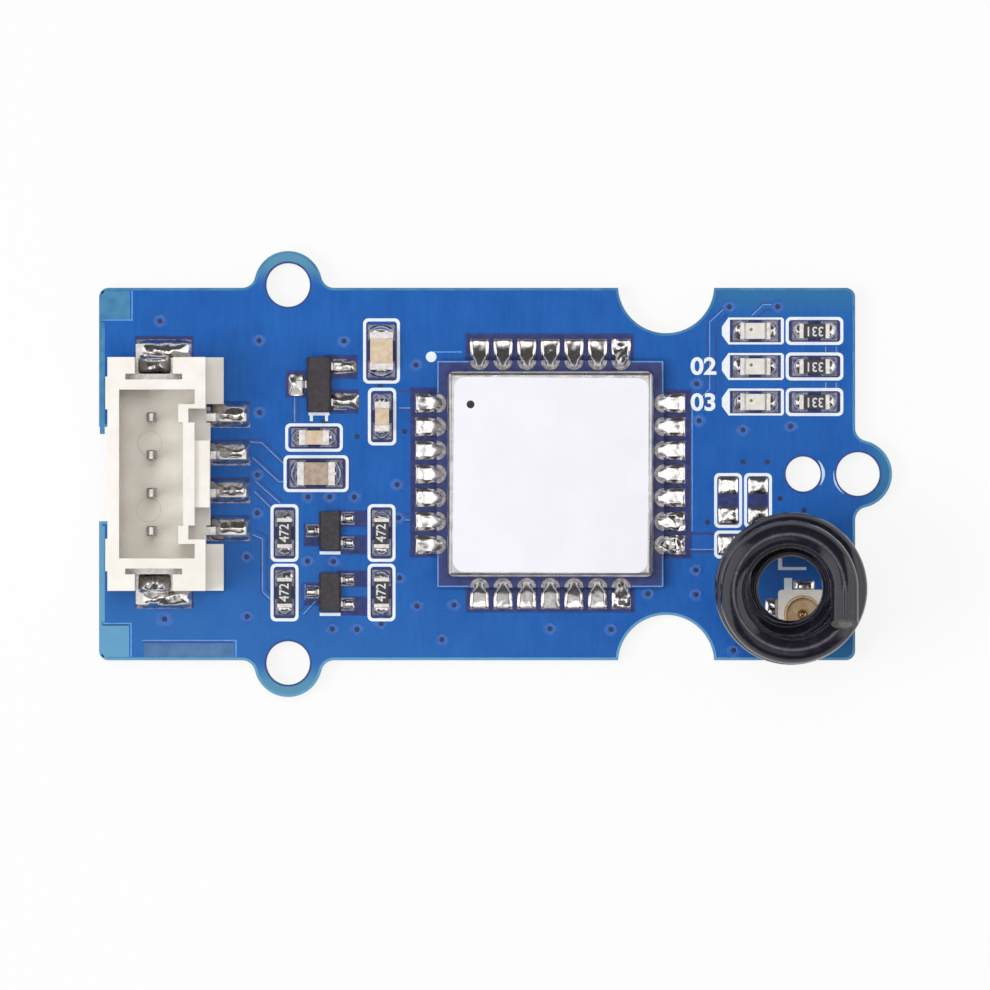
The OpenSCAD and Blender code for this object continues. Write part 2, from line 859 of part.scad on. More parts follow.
module coax_pin() {
    color(gold) coax_frame(pad_top) {
        cylinder(d = 0.5, h = coax_height - 0.5);
        translate([0, 0, coax_height - 0.5]) sphere(d = 0.5);
    }
}

module coax_pads() {
    coax_frame(board_top) {
        for (side = [-1, 1])
            box(side * (coax_side / 2 + 0.15) - 0.5, side * (coax_side / 2 + 0.15) + 0.5,
                -0.5, 0.8, 0, pad_thickness);
        box(-0.5, 0.6, coax_side / 2 - 0.3, coax_side / 2 + 0.5, 0, pad_thickness);
    }
}

module coax_fillets() {
    coax_frame(pad_top) {
        for (side = [0, 1]) mirror([side, 0, 0]) translate([coax_side / 2, 0.15, 0])
            solder_fillet(0.5, 0.28, 0.9);
        translate([0.05, coax_side / 2, 0]) rotate(90) solder_fillet(0.35, 0.3, 0.9);
    }
}

// Antenna: a wound wire with a cut end at the top and a bare end in the board

coil_whole_turns = 4;
coil_last_turn = 60;
rings_a_turn = 32;
wire_sides = 12;
leg_bend = 0.95;
coil_sweep = 360 * coil_whole_turns + coil_last_turn;
coil_low_z = pad_top + coax_height + wire_diameter / 2 + 0.15;
coil_top_z = coil_low_z + coil_pitch * coil_sweep / 360;
turn_radii = [coil_top_radius, coil_wide_radius, coil_wide_radius,
              coil_narrow_radius, coil_narrow_radius, coil_top_radius];
strip_z = pad_top + 0.3;

// Radius of the winding, eased from each turn to the next
function winding_radius(angle) =
    let (turn = floor(angle / 360), part = angle / 360 - turn, ease = (1 - cos(180 * part)) / 2)
    turn_radii[turn] * (1 - ease) + turn_radii[turn + 1] * ease;

function coil_point(angle) = let (r = winding_radius(angle))
    [coil_x() + r * cos(angle), coil_y() + r * sin(angle), coil_top_z - coil_pitch * angle / 360];

leg_start = coil_point(coil_sweep);
leg_heading = [-sin(coil_last_turn), cos(coil_last_turn)];
leg_x = leg_start[0] + leg_bend * leg_heading[0];
leg_y = leg_start[1] + leg_bend * leg_heading[1];

function bend_point(a) = [
    leg_start[0] + leg_bend * sin(a) * leg_heading[0],
    leg_start[1] + leg_bend * sin(a) * leg_heading[1],
    leg_start[2] - leg_bend * (1 - cos(a))
];

tail_rings = [for (i = [3:-1:1])
    [coil_x() + coil_top_radius, coil_y() - coil_tail * i / 3, coil_top_z]];
winding_rings = [for (a = [0:360 / rings_a_turn:coil_sweep - 1]) coil_point(a)];
bend_rings = [for (a = [0:15:90]) bend_point(a)];
wire_path = concat(tail_rings, winding_rings, bend_rings, [[leg_x, leg_y, strip_z]]);
wire_angles = concat([for (p = tail_rings) 0],
                     [for (a = [0:360 / rings_a_turn:coil_sweep - 1]) a],
                     [for (p = bend_rings) coil_sweep], [coil_sweep]);

function unit(v) = v / norm(v);
function heading(path, i) =
    unit(path[min(i + 1, len(path) - 1)] - path[max(i - 1, 0)]);

// One ring of points square to the wire, its first point on the outer side
function wire_ring(path, i, side_angle, radius, sides) =
    let (t = heading(path, i), out = [cos(side_angle), sin(side_angle), 0],
         side = unit(out - (out * t) * t), up = cross(t, side))
    [for (j = [0:sides - 1]) let (a = 360 * j / sides)
        path[i] + radius * (cos(a) * side + sin(a) * up)];

module swept_wire(path, angles, radius, sides) {
    rings = len(path);
    points = [for (i = [0:rings - 1]) each wire_ring(path, i, angles[i], radius, sides)];
    walls = [for (i = [0:rings - 2], j = [0:sides - 1])
        let (k = (j + 1) % sides)
        each [[i * sides + j, (i + 1) * sides + j, i * sides + k],
              [i * sides + k, (i + 1) * sides + j, (i + 1) * sides + k]]];
    first = [[for (j = [0:sides - 1]) j]];
    last = [[for (j = [sides - 1:-1:0]) (rings - 1) * sides + j]];
    polyhedron(points, concat(walls, first, last));
}

module antenna_coil() {
    color(wire_black)
        swept_wire(wire_path, wire_angles, wire_diameter / 2, wire_sides);
}

// The bare end of the wire, from the cut insulation to the board's underside
module antenna_lead() {
    color(tin) translate([leg_x, leg_y, 0]) cylinder(d = bare_diameter, h = strip_z);
}

module leg_pad() {
    translate([leg_x, leg_y, board_top]) difference() {
        cylinder(r = bare_diameter / 2 + 0.4, h = pad_thickness);
        translate([0, 0, -1]) cylinder(d = bare_diameter + 2 * fit, h = 3);
    }
}

module leg_fillet() {
    r = bare_diameter / 2 + fit;
    translate([leg_x, leg_y, pad_top]) rotate_extrude()
        polygon([[r, 0], [r + 0.3, 0], [r + 0.12, 0.1], [r, 0.28]]);
}

// Show the chosen node

circuit_board();
silkscreen();
solder_pads();
part_solder();
module_board();
module_terminals();
module_solder();
shield_can();
can_label();
radio_chip();
module_crystals();
module_inductors();
socket_housing();
socket_tabs();
for (i = [0:3]) socket_pin(i);
translate(concat(regulator_at, [pad_top])) package_body(regulator_size);  // regulator_body
translate(concat(regulator_at, [pad_top])) package_leads(regulator_size);  // regulator_leads
for (i = [0:1]) translate(concat(transistor_at[i], [pad_top])) package_body(transistor_size);
for (i = [0:1]) translate(concat(transistor_at[i], [pad_top])) package_leads(transistor_size);
for (i = [0:3]) capacitor_body(i);
for (i = [0:3]) capacitor_ends(i);
for (i = [0:6]) resistor_body(i);
for (i = [0:6]) resistor_ends(i);
for (i = [0:2]) light_body(i);
for (i = [0:2]) light_lens_block(i);
for (i = [0:2]) light_ends(i);
coax_base();
coax_ring();
coax_pin();
antenna_coil();
antenna_lead();
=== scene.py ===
"""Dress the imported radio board: finishes, copper relief, solder, digits and the wound antenna."""
import math

import bpy
from mathutils import Matrix, Vector, noise


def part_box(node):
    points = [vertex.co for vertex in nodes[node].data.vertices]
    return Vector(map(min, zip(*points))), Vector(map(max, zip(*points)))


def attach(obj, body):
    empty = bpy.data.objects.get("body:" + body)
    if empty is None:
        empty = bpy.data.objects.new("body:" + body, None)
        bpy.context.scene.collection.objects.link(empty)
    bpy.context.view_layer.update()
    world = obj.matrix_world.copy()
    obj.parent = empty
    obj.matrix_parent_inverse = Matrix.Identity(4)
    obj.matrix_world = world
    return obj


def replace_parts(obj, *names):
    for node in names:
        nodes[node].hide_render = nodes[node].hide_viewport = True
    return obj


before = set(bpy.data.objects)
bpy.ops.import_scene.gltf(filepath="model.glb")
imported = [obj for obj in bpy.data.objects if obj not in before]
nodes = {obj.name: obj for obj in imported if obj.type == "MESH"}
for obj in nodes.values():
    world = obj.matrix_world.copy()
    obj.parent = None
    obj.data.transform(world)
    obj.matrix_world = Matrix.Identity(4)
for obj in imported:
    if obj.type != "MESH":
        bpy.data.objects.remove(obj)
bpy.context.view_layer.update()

# Places measured in the photograph, and the board's heights in millimetres
MM = 0.001
PX_PER_MM = 18.9
MIDDLE_X_PX = 495.5
MIDDLE_Y_PX = 474.0
BOARD_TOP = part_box("circuit_board")[1].z / MM
PAD_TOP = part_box("solder_pads")[1].z / MM
MODULE_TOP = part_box("module_board")[1].z / MM
FLAT = 0.003
GAP_Z = 0.006


def spot(px, py):
    """Board place of a point measured in the photograph."""
    return (px - MIDDLE_X_PX) / PX_PER_MM, (MIDDLE_Y_PX - py) / PX_PER_MM


def spots(points):
    return [spot(*p) for p in points]


def srgb(red, green, blue):
    """A colour written as on screen, turned into the linear values that the shader takes."""
    def linear(value):
        value /= 255
        return value / 12.92 if value <= 0.04045 else ((value + 0.055) / 1.055) ** 2.4
    return linear(red), linear(green), linear(blue), 1.0


# Finishes

class Finish:
    """One procedural material, built from a few kinds of node."""

    def __init__(self, name, rough=0.4, metal=0.0, specular=0.5):
        self.material = bpy.data.materials.new(name)
        self.material.use_nodes = True
        self.tree = self.material.node_tree
        self.shader = self.tree.nodes["Principled BSDF"]
        self.place = self.add("ShaderNodeTexCoord").outputs["Object"]
        self.set("Roughness", rough)
        self.set("Metallic", metal)
        self.set("Specular IOR Level", specular)

    def add(self, kind, **settings):
        made = self.tree.nodes.new(kind)
        for key, value in settings.items():
            setattr(made, key, value)
        return made

    def set(self, socket, value):
        self.shader.inputs[socket].default_value = value

    def feed(self, socket, source):
        self.tree.links.new(source, self.shader.inputs[socket])

    def wire(self, source, target):
        if hasattr(source, "node"):
            self.tree.links.new(source, target)
        else:
            target.default_value = source

    def scaled(self, stretch):
        mapping = self.add("ShaderNodeMapping")
        self.tree.links.new(self.place, mapping.inputs["Vector"])
        mapping.inputs["Scale"].default_value = stretch
        return mapping.outputs["Vector"]

    def cloud(self, size, detail=3.0, stretch=(1, 1, 1), warp=0.0):
        """Cloudy values whose features are about size millimetres wide."""
        made = self.add("ShaderNodeTexNoise")
        self.tree.links.new(self.scaled(stretch), made.inputs["Vector"])
        made.inputs["Scale"].default_value = 1 / (size * MM)
        made.inputs["Detail"].default_value = detail
        made.inputs["Distortion"].default_value = warp
        return made.outputs["Fac"]

    def waves(self, size, direction, warp=0.0):
        made = self.add("ShaderNodeTexWave", bands_direction=direction)
        self.tree.links.new(self.place, made.inputs["Vector"])
        made.inputs["Scale"].default_value = 0.314 / (size * MM)
        made.inputs["Distortion"].default_value = warp
        return made.outputs["Fac"]

    def spread(self, value, low, high, start=0.3, end=0.7):
        made = self.add("ShaderNodeMapRange", interpolation_type="SMOOTHSTEP")
        self.wire(value, made.inputs["Value"])
        for socket, number in (("From Min", start), ("From Max", end),
                               ("To Min", low), ("To Max", high)):
            made.inputs[socket].default_value = number
        return made.outputs["Result"]

    def sum(self, operation, a, b):
        made = self.add("ShaderNodeMath", operation=operation)
        self.wire(a, made.inputs[0])
        self.wire(b, made.inputs[1])
        return made.outputs[0]

    def mix(self, factor, a, b):
        made = self.add("ShaderNodeMix", data_type="RGBA")
        self.wire(factor, made.inputs["Factor"])
        self.wire(a, made.inputs[6])
        self.wire(b, made.inputs[7])
        return made.outputs[2]

    def axis(self, name):
        made = self.add("ShaderNodeSeparateXYZ")
        self.tree.links.new(self.place, made.inputs[0])
        return made.outputs[name]

    def bump(self, value, height, before=None):
        """Raise the surface by up to height millimetres."""
        made = self.add("ShaderNodeBump")
        self.wire(value, made.inputs["Height"])
        made.inputs["Distance"].default_value = height * MM
        made.inputs["Strength"].default_value = 1.0
        if before is not None:
            self.tree.links.new(before, made.inputs["Normal"])
        return made.outputs["Normal"]

    def on(self, *names):
        for name in names:
            paint(nodes[name], self)


def paint(piece, finish):
    materials = piece.data.materials
    if len(materials):
        for i in range(len(materials)):
            materials[i] = finish.material
    else:
        materials.append(finish.material)


def plain_finish(name, low, high, size=0.5, rough=(0.3, 0.45), metal=0.0, specular=0.5,
                 grain=0.003, grain_size=0.12, stretch=(1, 1, 1)):
    """A surface with a little colour drift, uneven gloss and a fine grain."""
    made = Finish(name, metal=metal, specular=specular)
    drift = made.cloud(size, 4, stretch)
    made.feed("Base Color", made.mix(made.spread(drift, 0, 1), low, high))
    patches = made.cloud(size * 0.6, 5, stretch)
    made.feed("Roughness", made.spread(patches, *rough))
    made.feed("Normal", made.bump(made.cloud(grain_size, 3, stretch), grain))
    return made


def board_finish():
    """Solder mask over copper: bluer in the middle, paler at the low left as painted light from the key
    lamp's side, teal past the copper.
    """
    made = Finish("blue mask", specular=0.2)
    x, y = made.axis("X"), made.axis("Y")
    drift = made.spread(made.cloud(2.2, 4), 0, 0.6, 0.25, 0.75)
    streaks = made.spread(made.cloud(0.7, 3, (4, 0.5, 1)), 0, 0.4)
    blue = made.mix(made.sum("ADD", drift, streaks), srgb(20, 85, 165), srgb(33, 99, 180))
    # Painted light: the mask turns paler towards the low left, the side the key lamp shines from.
    slant = made.sum("ADD", made.sum("MULTIPLY", x, -0.5), made.sum("MULTIPLY", y, -1.0))
    pale = made.spread(slant, 0, 0.75, 0.002, 0.021)
    blue = made.mix(pale, blue, srgb(50, 108, 174))
    teal = made.mix(made.spread(x, 0, 1, -0.002, 0.012), srgb(88, 143, 174), srgb(48, 112, 160))
    ear_y = made.spread(made.sum("ABSOLUTE", y, 0), 0, 1, 0.0098, 0.0113)
    ear_x = made.spread(x, 0, 1, 0.0192, 0.0206)
    corner = made.sum("MULTIPLY", made.spread(x, 0, 1, 0.0105, 0.0125),
                      made.spread(y, 0, 0.8, 0.0078, 0.0096))
    low_corner = made.sum("MULTIPLY", made.spread(x, 0, 1, 0.0160, 0.0190),
                          made.spread(y, 1, 0, -0.0098, -0.0080))
    outer = made.sum("MAXIMUM", made.sum("MAXIMUM", ear_y, ear_x),
                     made.sum("MAXIMUM", corner, low_corner))
    mask = made.mix(outer, blue, teal)
    fibre = made.mix(made.spread(made.waves(0.2, "Z", 2.0), 0, 1), srgb(176, 172, 128),
                     srgb(120, 138, 118))
    normal = made.add("ShaderNodeNewGeometry").outputs["Normal"]
    facing = made.add("ShaderNodeSeparateXYZ")
    made.tree.links.new(normal, facing.inputs[0])
    upright = made.sum("ABSOLUTE", facing.outputs["Z"], 0)
    made.feed("Base Color", made.mix(made.spread(upright, 0, 1, 0.3, 0.6), fibre, mask))
    made.feed("Roughness", made.spread(made.cloud(0.9, 5), 0.26, 0.4))
    weave = made.sum("MULTIPLY", made.waves(0.5, "X", 0.6), made.waves(0.5, "Y", 0.6))
    made.feed("Normal", made.bump(made.cloud(0.25, 3), 0.0022, made.bump(weave, 0.0012)))
    return made


def margin_finish():
    """Bare laminate under the mask, paler towards the low side as painted light."""
    made = Finish("bare margin")
    painted_light_low_side = made.spread(made.axis("Y"), 1, 0, -0.008, 0.008)
    drift = made.spread(made.cloud(0.7, 4), 0, 0.4)
    colour = made.mix(painted_light_low_side, srgb(36, 108, 156), srgb(90, 150, 188))
    made.feed("Base Color", made.mix(drift, colour, srgb(92, 158, 188)))
    made.feed("Roughness", made.spread(made.cloud(0.5, 5), 0.3, 0.42))
    made.feed("Normal", made.bump(made.cloud(0.12, 3), 0.003))
    return made


def metal_finish(name, low, high, rough, size=0.25, grain=0.004, grain_size=0.12):
    return plain_finish(name, low, high, size, rough, 1.0, 0.5, grain, grain_size)


def nylon_finish():
    made = plain_finish("socket nylon", srgb(238, 233, 224), srgb(247, 243, 236), 1.4,
                        (0.36, 0.5), grain=0.004, grain_size=0.2)
    made.set("Subsurface Weight", 0.12)
    made.set("Subsurface Radius", (1.0, 0.75, 0.5))
    made.set("Subsurface Scale", 0.0006)
    return made


def jacket_finish():
    """Wire jacket with fine marks and dusty scuffs."""
    made = Finish("wire jacket", specular=0.5)
    scuff = made.spread(made.cloud(0.5, 8, warp=0.6), 0, 1, 0.52, 0.78)
    made.feed("Base Color", made.mix(scuff, srgb(27, 25, 37), srgb(50, 46, 60)))
    made.feed("Roughness", made.spread(made.cloud(0.3, 6), 0.08, 0.18))
    made.feed("Normal", made.bump(made.cloud(0.3, 5), 0.004))
    return made


def mould_finish():
    made = plain_finish("black mould", srgb(54, 50, 55), srgb(66, 61, 66), 0.25, (0.5, 0.66),
                        specular=0.4, grain=0.008, grain_size=0.07)
    return made


mask_blue = board_finish()
# Painted highlight: lighter lines along copper edges, partly copper showing through the thin mask there
# and partly painted light on the edge that faces the lamp.
painted_edge_highlight = plain_finish("copper edge highlight", srgb(84, 146, 216), srgb(104, 164, 226), 0.4, (0.3, 0.4))
# Painted shade: the mask darkened in the gaps beside copper, round the holes and at the openings' rims.
painted_shade_navy = plain_finish("mask shade in gaps", srgb(26, 48, 120), srgb(34, 58, 134), 0.4, (0.3, 0.42))
via_blue = plain_finish("via mask", srgb(30, 88, 168), srgb(44, 102, 182), 0.3, (0.26, 0.36))
cavity_line = plain_finish("ejector mark", srgb(222, 215, 204), srgb(234, 228, 218), 0.3, (0.4, 0.5))
well_tan = plain_finish("coax well", srgb(222, 190, 152), srgb(244, 222, 188), 0.5, (0.3, 0.44))
# Painted shade: a dark dot stands in for each via's hole.
painted_via_shade = plain_finish("via hole shade", srgb(14, 16, 58), srgb(22, 26, 76), 0.1, (0.3, 0.5))
# Partly painted shade: bare laminate in the mask openings, darkened further round the pads and the
# socket's leads.
bare_navy_and_shade = plain_finish("bare laminate and shade", srgb(24, 36, 88), srgb(38, 50, 108), 0.35, (0.38, 0.55))
# Painted highlight on the mask's edge beside the holes.
painted_arc_highlight = plain_finish("painted highlight arc", srgb(172, 200, 230), srgb(206, 224, 244), 0.3, (0.4, 0.5))
strip_blue = plain_finish("bare strip", srgb(58, 98, 148), srgb(76, 116, 162), 0.7, (0.3, 0.42))
margin_teal = margin_finish()
white_print = plain_finish("white print", srgb(232, 242, 255), srgb(243, 249, 255), 0.2,
                           (0.55, 0.7), grain=0.006, grain_size=0.08)
tinned_copper = metal_finish("tinned copper", srgb(84, 83, 102), srgb(128, 126, 140),
                             (0.2, 0.34), grain=0.004, grain_size=0.16)
solder = metal_finish("solder", srgb(208, 203, 201), srgb(232, 228, 226), (0.14, 0.26), 0.2,
                      grain=0.004, grain_size=0.3)
module_mask = plain_finish("module mask", srgb(26, 38, 98), srgb(38, 50, 116), 0.5, (0.3, 0.42))
gold_plate = metal_finish("gold plate", srgb(222, 190, 128), srgb(240, 214, 160), (0.18, 0.3))
land_tin = metal_finish("tinned gold", srgb(108, 104, 106), srgb(158, 152, 148), (0.2, 0.32),
                        grain=0.004, grain_size=0.2)
can_sheet = metal_finish("can sheet", srgb(166, 163, 164), srgb(192, 189, 190), (0.26, 0.38), 0.6,
                         grain=0.003, grain_size=0.1)
label_film = plain_finish("label film", srgb(240, 240, 246), srgb(244, 244, 250), 2.5,
                          (0.48, 0.53), specular=0.25, grain=0.0008, grain_size=0.3)
black_mould = mould_finish()
white_ceramic = plain_finish("white ceramic", srgb(226, 224, 216), srgb(238, 236, 230), 0.3,
                             (0.3, 0.42))
socket_nylon = nylon_finish()
tin_plate = metal_finish("tin plate", srgb(184, 180, 178), srgb(206, 202, 200), (0.26, 0.36), 0.3,
                         grain=0.002, grain_size=0.2)
tan_ceramic = plain_finish("tan ceramic", srgb(204, 181, 152), srgb(219, 200, 174), 0.25,
                           (0.34, 0.5), grain=0.004, grain_size=0.06)
brown_ceramic = plain_finish("brown ceramic", srgb(158, 139, 122), srgb(180, 161, 145), 0.25,
                             (0.34, 0.5), grain=0.004, grain_size=0.06)
resistor_coat = plain_finish("resistor coat", srgb(34, 32, 38), srgb(48, 45, 52), 0.2,
                             (0.3, 0.44))
lens_resin = plain_finish("lens resin", srgb(218, 215, 206), srgb(230, 228, 220), 0.4,
                          (0.24, 0.34))
coax_plastic = plain_finish("coax plastic", srgb(247, 243, 236), srgb(252, 250, 245), 0.4,
                            (0.34, 0.46))
worn_gold = plain_finish("worn gold", srgb(216, 184, 140), srgb(242, 218, 178), 0.3, (0.3, 0.42),
                         metal=0.35)
wire_jacket = jacket_finish()
printed_black = plain_finish("printed dot", srgb(30, 30, 34), srgb(44, 44, 48), 0.1, (0.5, 0.6))
printed_gray = plain_finish("printed digit", srgb(206, 206, 212), srgb(226, 226, 230), 0.1,
                            (0.5, 0.6))
chip_dark = plain_finish("light chip", srgb(120, 96, 74), srgb(150, 124, 98), 0.1, (0.3, 0.5))
cut_gray = plain_finish("cut jacket", srgb(60, 56, 60), srgb(84, 79, 82), 0.15, (0.5, 0.7))
dull_core = metal_finish("dull core", srgb(104, 98, 96), srgb(132, 126, 122), (0.45, 0.6))

mask_blue.on("circuit_board")
white_print.on("silkscreen")
tinned_copper.on("solder_pads")
solder.on("part_solder", "module_solder")
module_mask.on("module_board")
land_tin.on("module_terminals")
gold_plate.on("coax_pin")
worn_gold.on("coax_ring")
can_sheet.on("shield_can", "module_crystals")
label_film.on("can_label")
black_mould.on("radio_chip", "regulator_body", "transistor_1_body", "transistor_2_body")
white_ceramic.on("module_inductors", *[f"light_{i}_base" for i in range(1, 4)])
socket_nylon.on("socket_housing")
tin_plate.on("socket_tabs", "antenna_lead", "regulator_leads", "transistor_1_leads",
             "transistor_2_leads", *[f"socket_pin_{i}" for i in range(1, 5)],
             *[f"capacitor_{i}_ends" for i in range(1, 5)],
             *[f"resistor_{i}_ends" for i in range(1, 8)],
             *[f"light_{i}_ends" for i in range(1, 4)])
tan_ceramic.on("capacitor_1_body", "capacitor_2_body", "capacitor_3_body")
brown_ceramic.on("capacitor_4_body")
resistor_coat.on(*[f"resistor_{i}_body" for i in range(1, 8)])
lens_resin.on(*[f"light_{i}_lens" for i in range(1, 4)])
coax_plastic.on("coax_base")
wire_jacket.on("antenna_coil")


# Softened edges on the CAD pieces

def soften(name, width, segments=2):
    piece = nodes[name]
    weld = piece.modifiers.new("weld", "WELD")
    weld.merge_threshold = 1e-7
    flat = piece.modifiers.new("flat", "DECIMATE")
    flat.decimate_type = "DISSOLVE"
    flat.angle_limit = math.radians(1)
    bevel = piece.modifiers.new("bevel", "BEVEL")
    bevel.width = width * MM
    bevel.segments = segments
    bevel.limit_method = "ANGLE"
    bevel.angle_limit = math.radians(35)
    bevel.use_clamp_overlap = True


soften("socket_housing", 0.05)
soften("shield_can", 0.03)
for i in range(1, 5):
    soften(f"capacitor_{i}_ends", 0.05, 3)
    soften(f"socket_pin_{i}", 0.05)
for i in range(1, 8):
    soften(f"resistor_{i}_ends", 0.03)
for i in range(1, 4):
    soften(f"light_{i}_ends", 0.03)
    soften(f"light_{i}_lens", 0.04)
for name in ("regulator", "transistor_1", "transistor_2"):
    soften(name + "_body", 0.04)
    soften(name + "_leads", 0.02)


# Pieces built in mesh code

class Shape:
    """Points and faces in millimetres, gathered for one piece."""

    def __init__(self):
        self.points = []
        self.faces = []

    def add(self, points, faces):
        base = len(self.points)
        self.points += [tuple(p) for p in points]
        self.faces += [[base + i for i in face] for face in faces]

    def sheet(self, rows, closed=False, flip=False):
        """A surface through rows of equally many points."""
        wide = len(rows[0])
        points = [p for row in rows for p in row]
        faces = []
        last = len(rows) if closed else len(rows) - 1
        for r in range(last):
            a, b = r * wide, (r + 1) % len(rows) * wide
            for i in range(wide - 1):
                face = [a + i, a + i + 1, b + i + 1, b + i]
                faces.append(face[::-1] if flip else face)
        self.add(points, faces)

    def build(self, name, finish, smooth=True, sharp=50):
        mesh = bpy.data.meshes.new(name)
        mesh.from_pydata([[v * MM for v in p] for p in self.points], [], self.faces)
        mesh.update()
        mesh.materials.append(finish.material)
        if smooth:
            mesh.shade_smooth()
            mesh.set_sharp_from_angle(angle=math.radians(sharp))
        piece = bpy.data.objects.new(name, mesh)
        bpy.context.scene.collection.objects.link(piece)
        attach(piece, "root")
        return piece


def side_of(path, i, closed):
    """The unit vector to the right of a path at one point, lengthened at a corner."""
    count = len(path)
    here = Vector(path[i])
    before = Vector(path[i - 1]) if closed or i else None
    after = Vector(path[(i + 1) % count]) if closed or i < count - 1 else None
    ways = []
    if before is not None:
        ways.append((here - before).normalized())
    if after is not None:
        ways.append((after - here).normalized())
    mean = sum(ways, Vector((0, 0))).normalized()
    side = Vector((mean.y, -mean.x))
    first = Vector((ways[0].y, -ways[0].x))
    return side / max(side.dot(first), 0.5)


def ribbon(shape, path, profile, z, closed=False):
    """A strip along a path. The profile lists how far right of the path and how high."""
    rows = []
    for i, (x, y) in enumerate(path):
        side = side_of(path, i, closed)
        rows.append([(x + side.x * off, y + side.y * off, z + up) for off, up in profile])
    shape.sheet(rows, closed)


def disc(shape, x, y, profile, z, sides=20):
    """A turned shape on the board. The profile lists radius and height, from the rim inwards."""
    rows = []
    for i in range(sides):
        angle = 2 * math.pi * i / sides
        rows.append([(x + r * math.cos(angle), y + r * math.sin(angle), z + up)
                     for r, up in profile])
    shape.sheet(rows, closed=True, flip=True)


def rectangle(x0, x1, y0, y1):
    """A rectangle's corners from its edges in the photograph, clockwise from above."""
    return spots([(x0, y0), (x1, y0), (x1, y1), (x0, y1)])


def flat_patch(shape, outline, z):
    shape.add([(x, y, z) for x, y in outline], [list(range(len(outline)))[::-1]])


# The outline of the board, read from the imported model

def board_loops():
    """The closed edges of the board's top face, as lists of places in millimetres."""
    mesh = nodes["circuit_board"].data
    keys = [tuple(round(c / MM, 4) for c in v.co) for v in mesh.vertices]
    seen = {}
    for face in mesh.polygons:
        corners = [keys[i] for i in face.vertices]
        if all(abs(c[2] - BOARD_TOP) < 1e-3 for c in corners):
            for a, b in zip(corners, corners[1:] + corners[:1]):
                seen[(a, b)] = True
    onward = {a: b for a, b in seen if (b, a) not in seen}
    loops = []
    while onward:
        start, here = next(iter(onward.items()))
        loop = [start]
        del onward[start]
        while here != start:
            loop.append(here)
            here = onward.pop(here)
        loops.append([(x, y) for x, y, z in loop])
    return loops


def loop_area(loop):
    return sum(a[0] * b[1] - b[0] * a[1] for a, b in zip(loop, loop[1:] + loop[:1])) / 2


loops = board_loops()
outline = max(loops, key=lambda loop: abs(loop_area(loop)))
if loop_area(outline) > 0:
    outline = outline[::-1]

# Laminate without copper: a thin margin and three patches

margin = Shape()
ribbon(margin, outline, [(0.015, 0.0), (0.04, FLAT), (0.12, FLAT), (0.14, 0.0)], BOARD_TOP, True)
left_edge = [(99.8, 322), (99.8, 434)], [(99.8, 526), (99.8, 622)]
for ends in left_edge:
    ribbon(margin, spots(ends), [(-0.26, FLAT), (0.0, FLAT)], BOARD_TOP + 0.001)
margin.build("board_margin", margin_teal)

patches = Shape()
flat_patch(patches, rectangle(101.5, 130, 291, 319), BOARD_TOP + FLAT)
flat_patch(patches, rectangle(101.5, 129, 625, 657), BOARD_TOP + FLAT)
patches.build("bare_patches", margin_teal, smooth=False)
strip = Shape()
flat_patch(strip, rectangle(144, 234, 643, 657.5), BOARD_TOP + FLAT)
strip.build("bare_strip", strip_blue, smooth=False)

# Painted shade: dark rims round the screw holes and the locating hole

hole_rims = Shape()
for loop in loops:
    inner = loop if loop_area(loop) > 0 else loop[::-1]
    if 1.5 < abs(loop_area(loop)) < 6:
        ribbon(hole_rims, inner, [(0.012, 0.0), (0.03, FLAT), (0.085, FLAT), (0.1, 0.0)],
               BOARD_TOP, True)
hole_rims.build("hole_rims", painted_shade_navy)

# Painted highlight: light arcs between the locating hole and the end ear's hole


def crescent(shape, x, y, radius, start, end, half):
    """An arc that is widest at its middle. Its two angles are in degrees."""
    rows = []
    for i in range(21):
        angle = math.radians(start + (end - start) * i / 20)
        wide = half * math.sin(math.pi * (0.04 + 0.92 * i / 20))
        rows.append([(x + (radius + off * wide) * math.cos(angle),
                      y + (radius + off * wide) * math.sin(angle), BOARD_TOP + up)
                     for off, up in ((1.3, 0.0), (1.0, 0.008), (-1.0, 0.008), (-1.3, 0.0))])
    shape.sheet(rows, flip=True)


arcs = Shape()
crescent(arcs, 16.275, 0.0, 1.07, -34, 42, 0.065)
crescent(arcs, 19.175, 0.0, 1.28, 172, 236, 0.035)
arcs.build("hole_arcs", painted_arc_highlight)

# Copper edges with a painted highlight, and the gaps beside them in painted shade

edges = Shape()
gaps = Shape()
EDGE_PROFILE = [(-0.035, 0.0), (-0.01, 0.012), (0.01, 0.012), (0.035, 0.0)]


def gap_profile(half):
    return [(-half, GAP_Z), (-half * 0.6, FLAT), (half * 0.6, FLAT), (half, GAP_Z)]


# A painted highlight along a copper edge.
def bright_line(points):
    ribbon(edges, spots(points), EDGE_PROFILE, BOARD_TOP)


def gap_line(points, width=2.0):
    ribbon(gaps, spots(points), gap_profile(width / 2 / PX_PER_MM), BOARD_TOP)


def shifted(points, px):
    """The same path moved sideways by some pixels."""
    path = [(x, -y) for x, y in points]
    moved = []
    for i, (x, y) in enumerate(path):
        side = side_of(path, i, False)
        moved.append((x + side.x * px, -(y + side.y * px)))
    return moved


def trace(points, half, gap=2.0):
    """A narrow copper run: a gap on each side, with its right edge catching the light."""
    for way in (-1, 1):
        gap_line(shifted(points, way * (half + gap / 2)), gap)
    bright_line(shifted(points, half - 0.5))


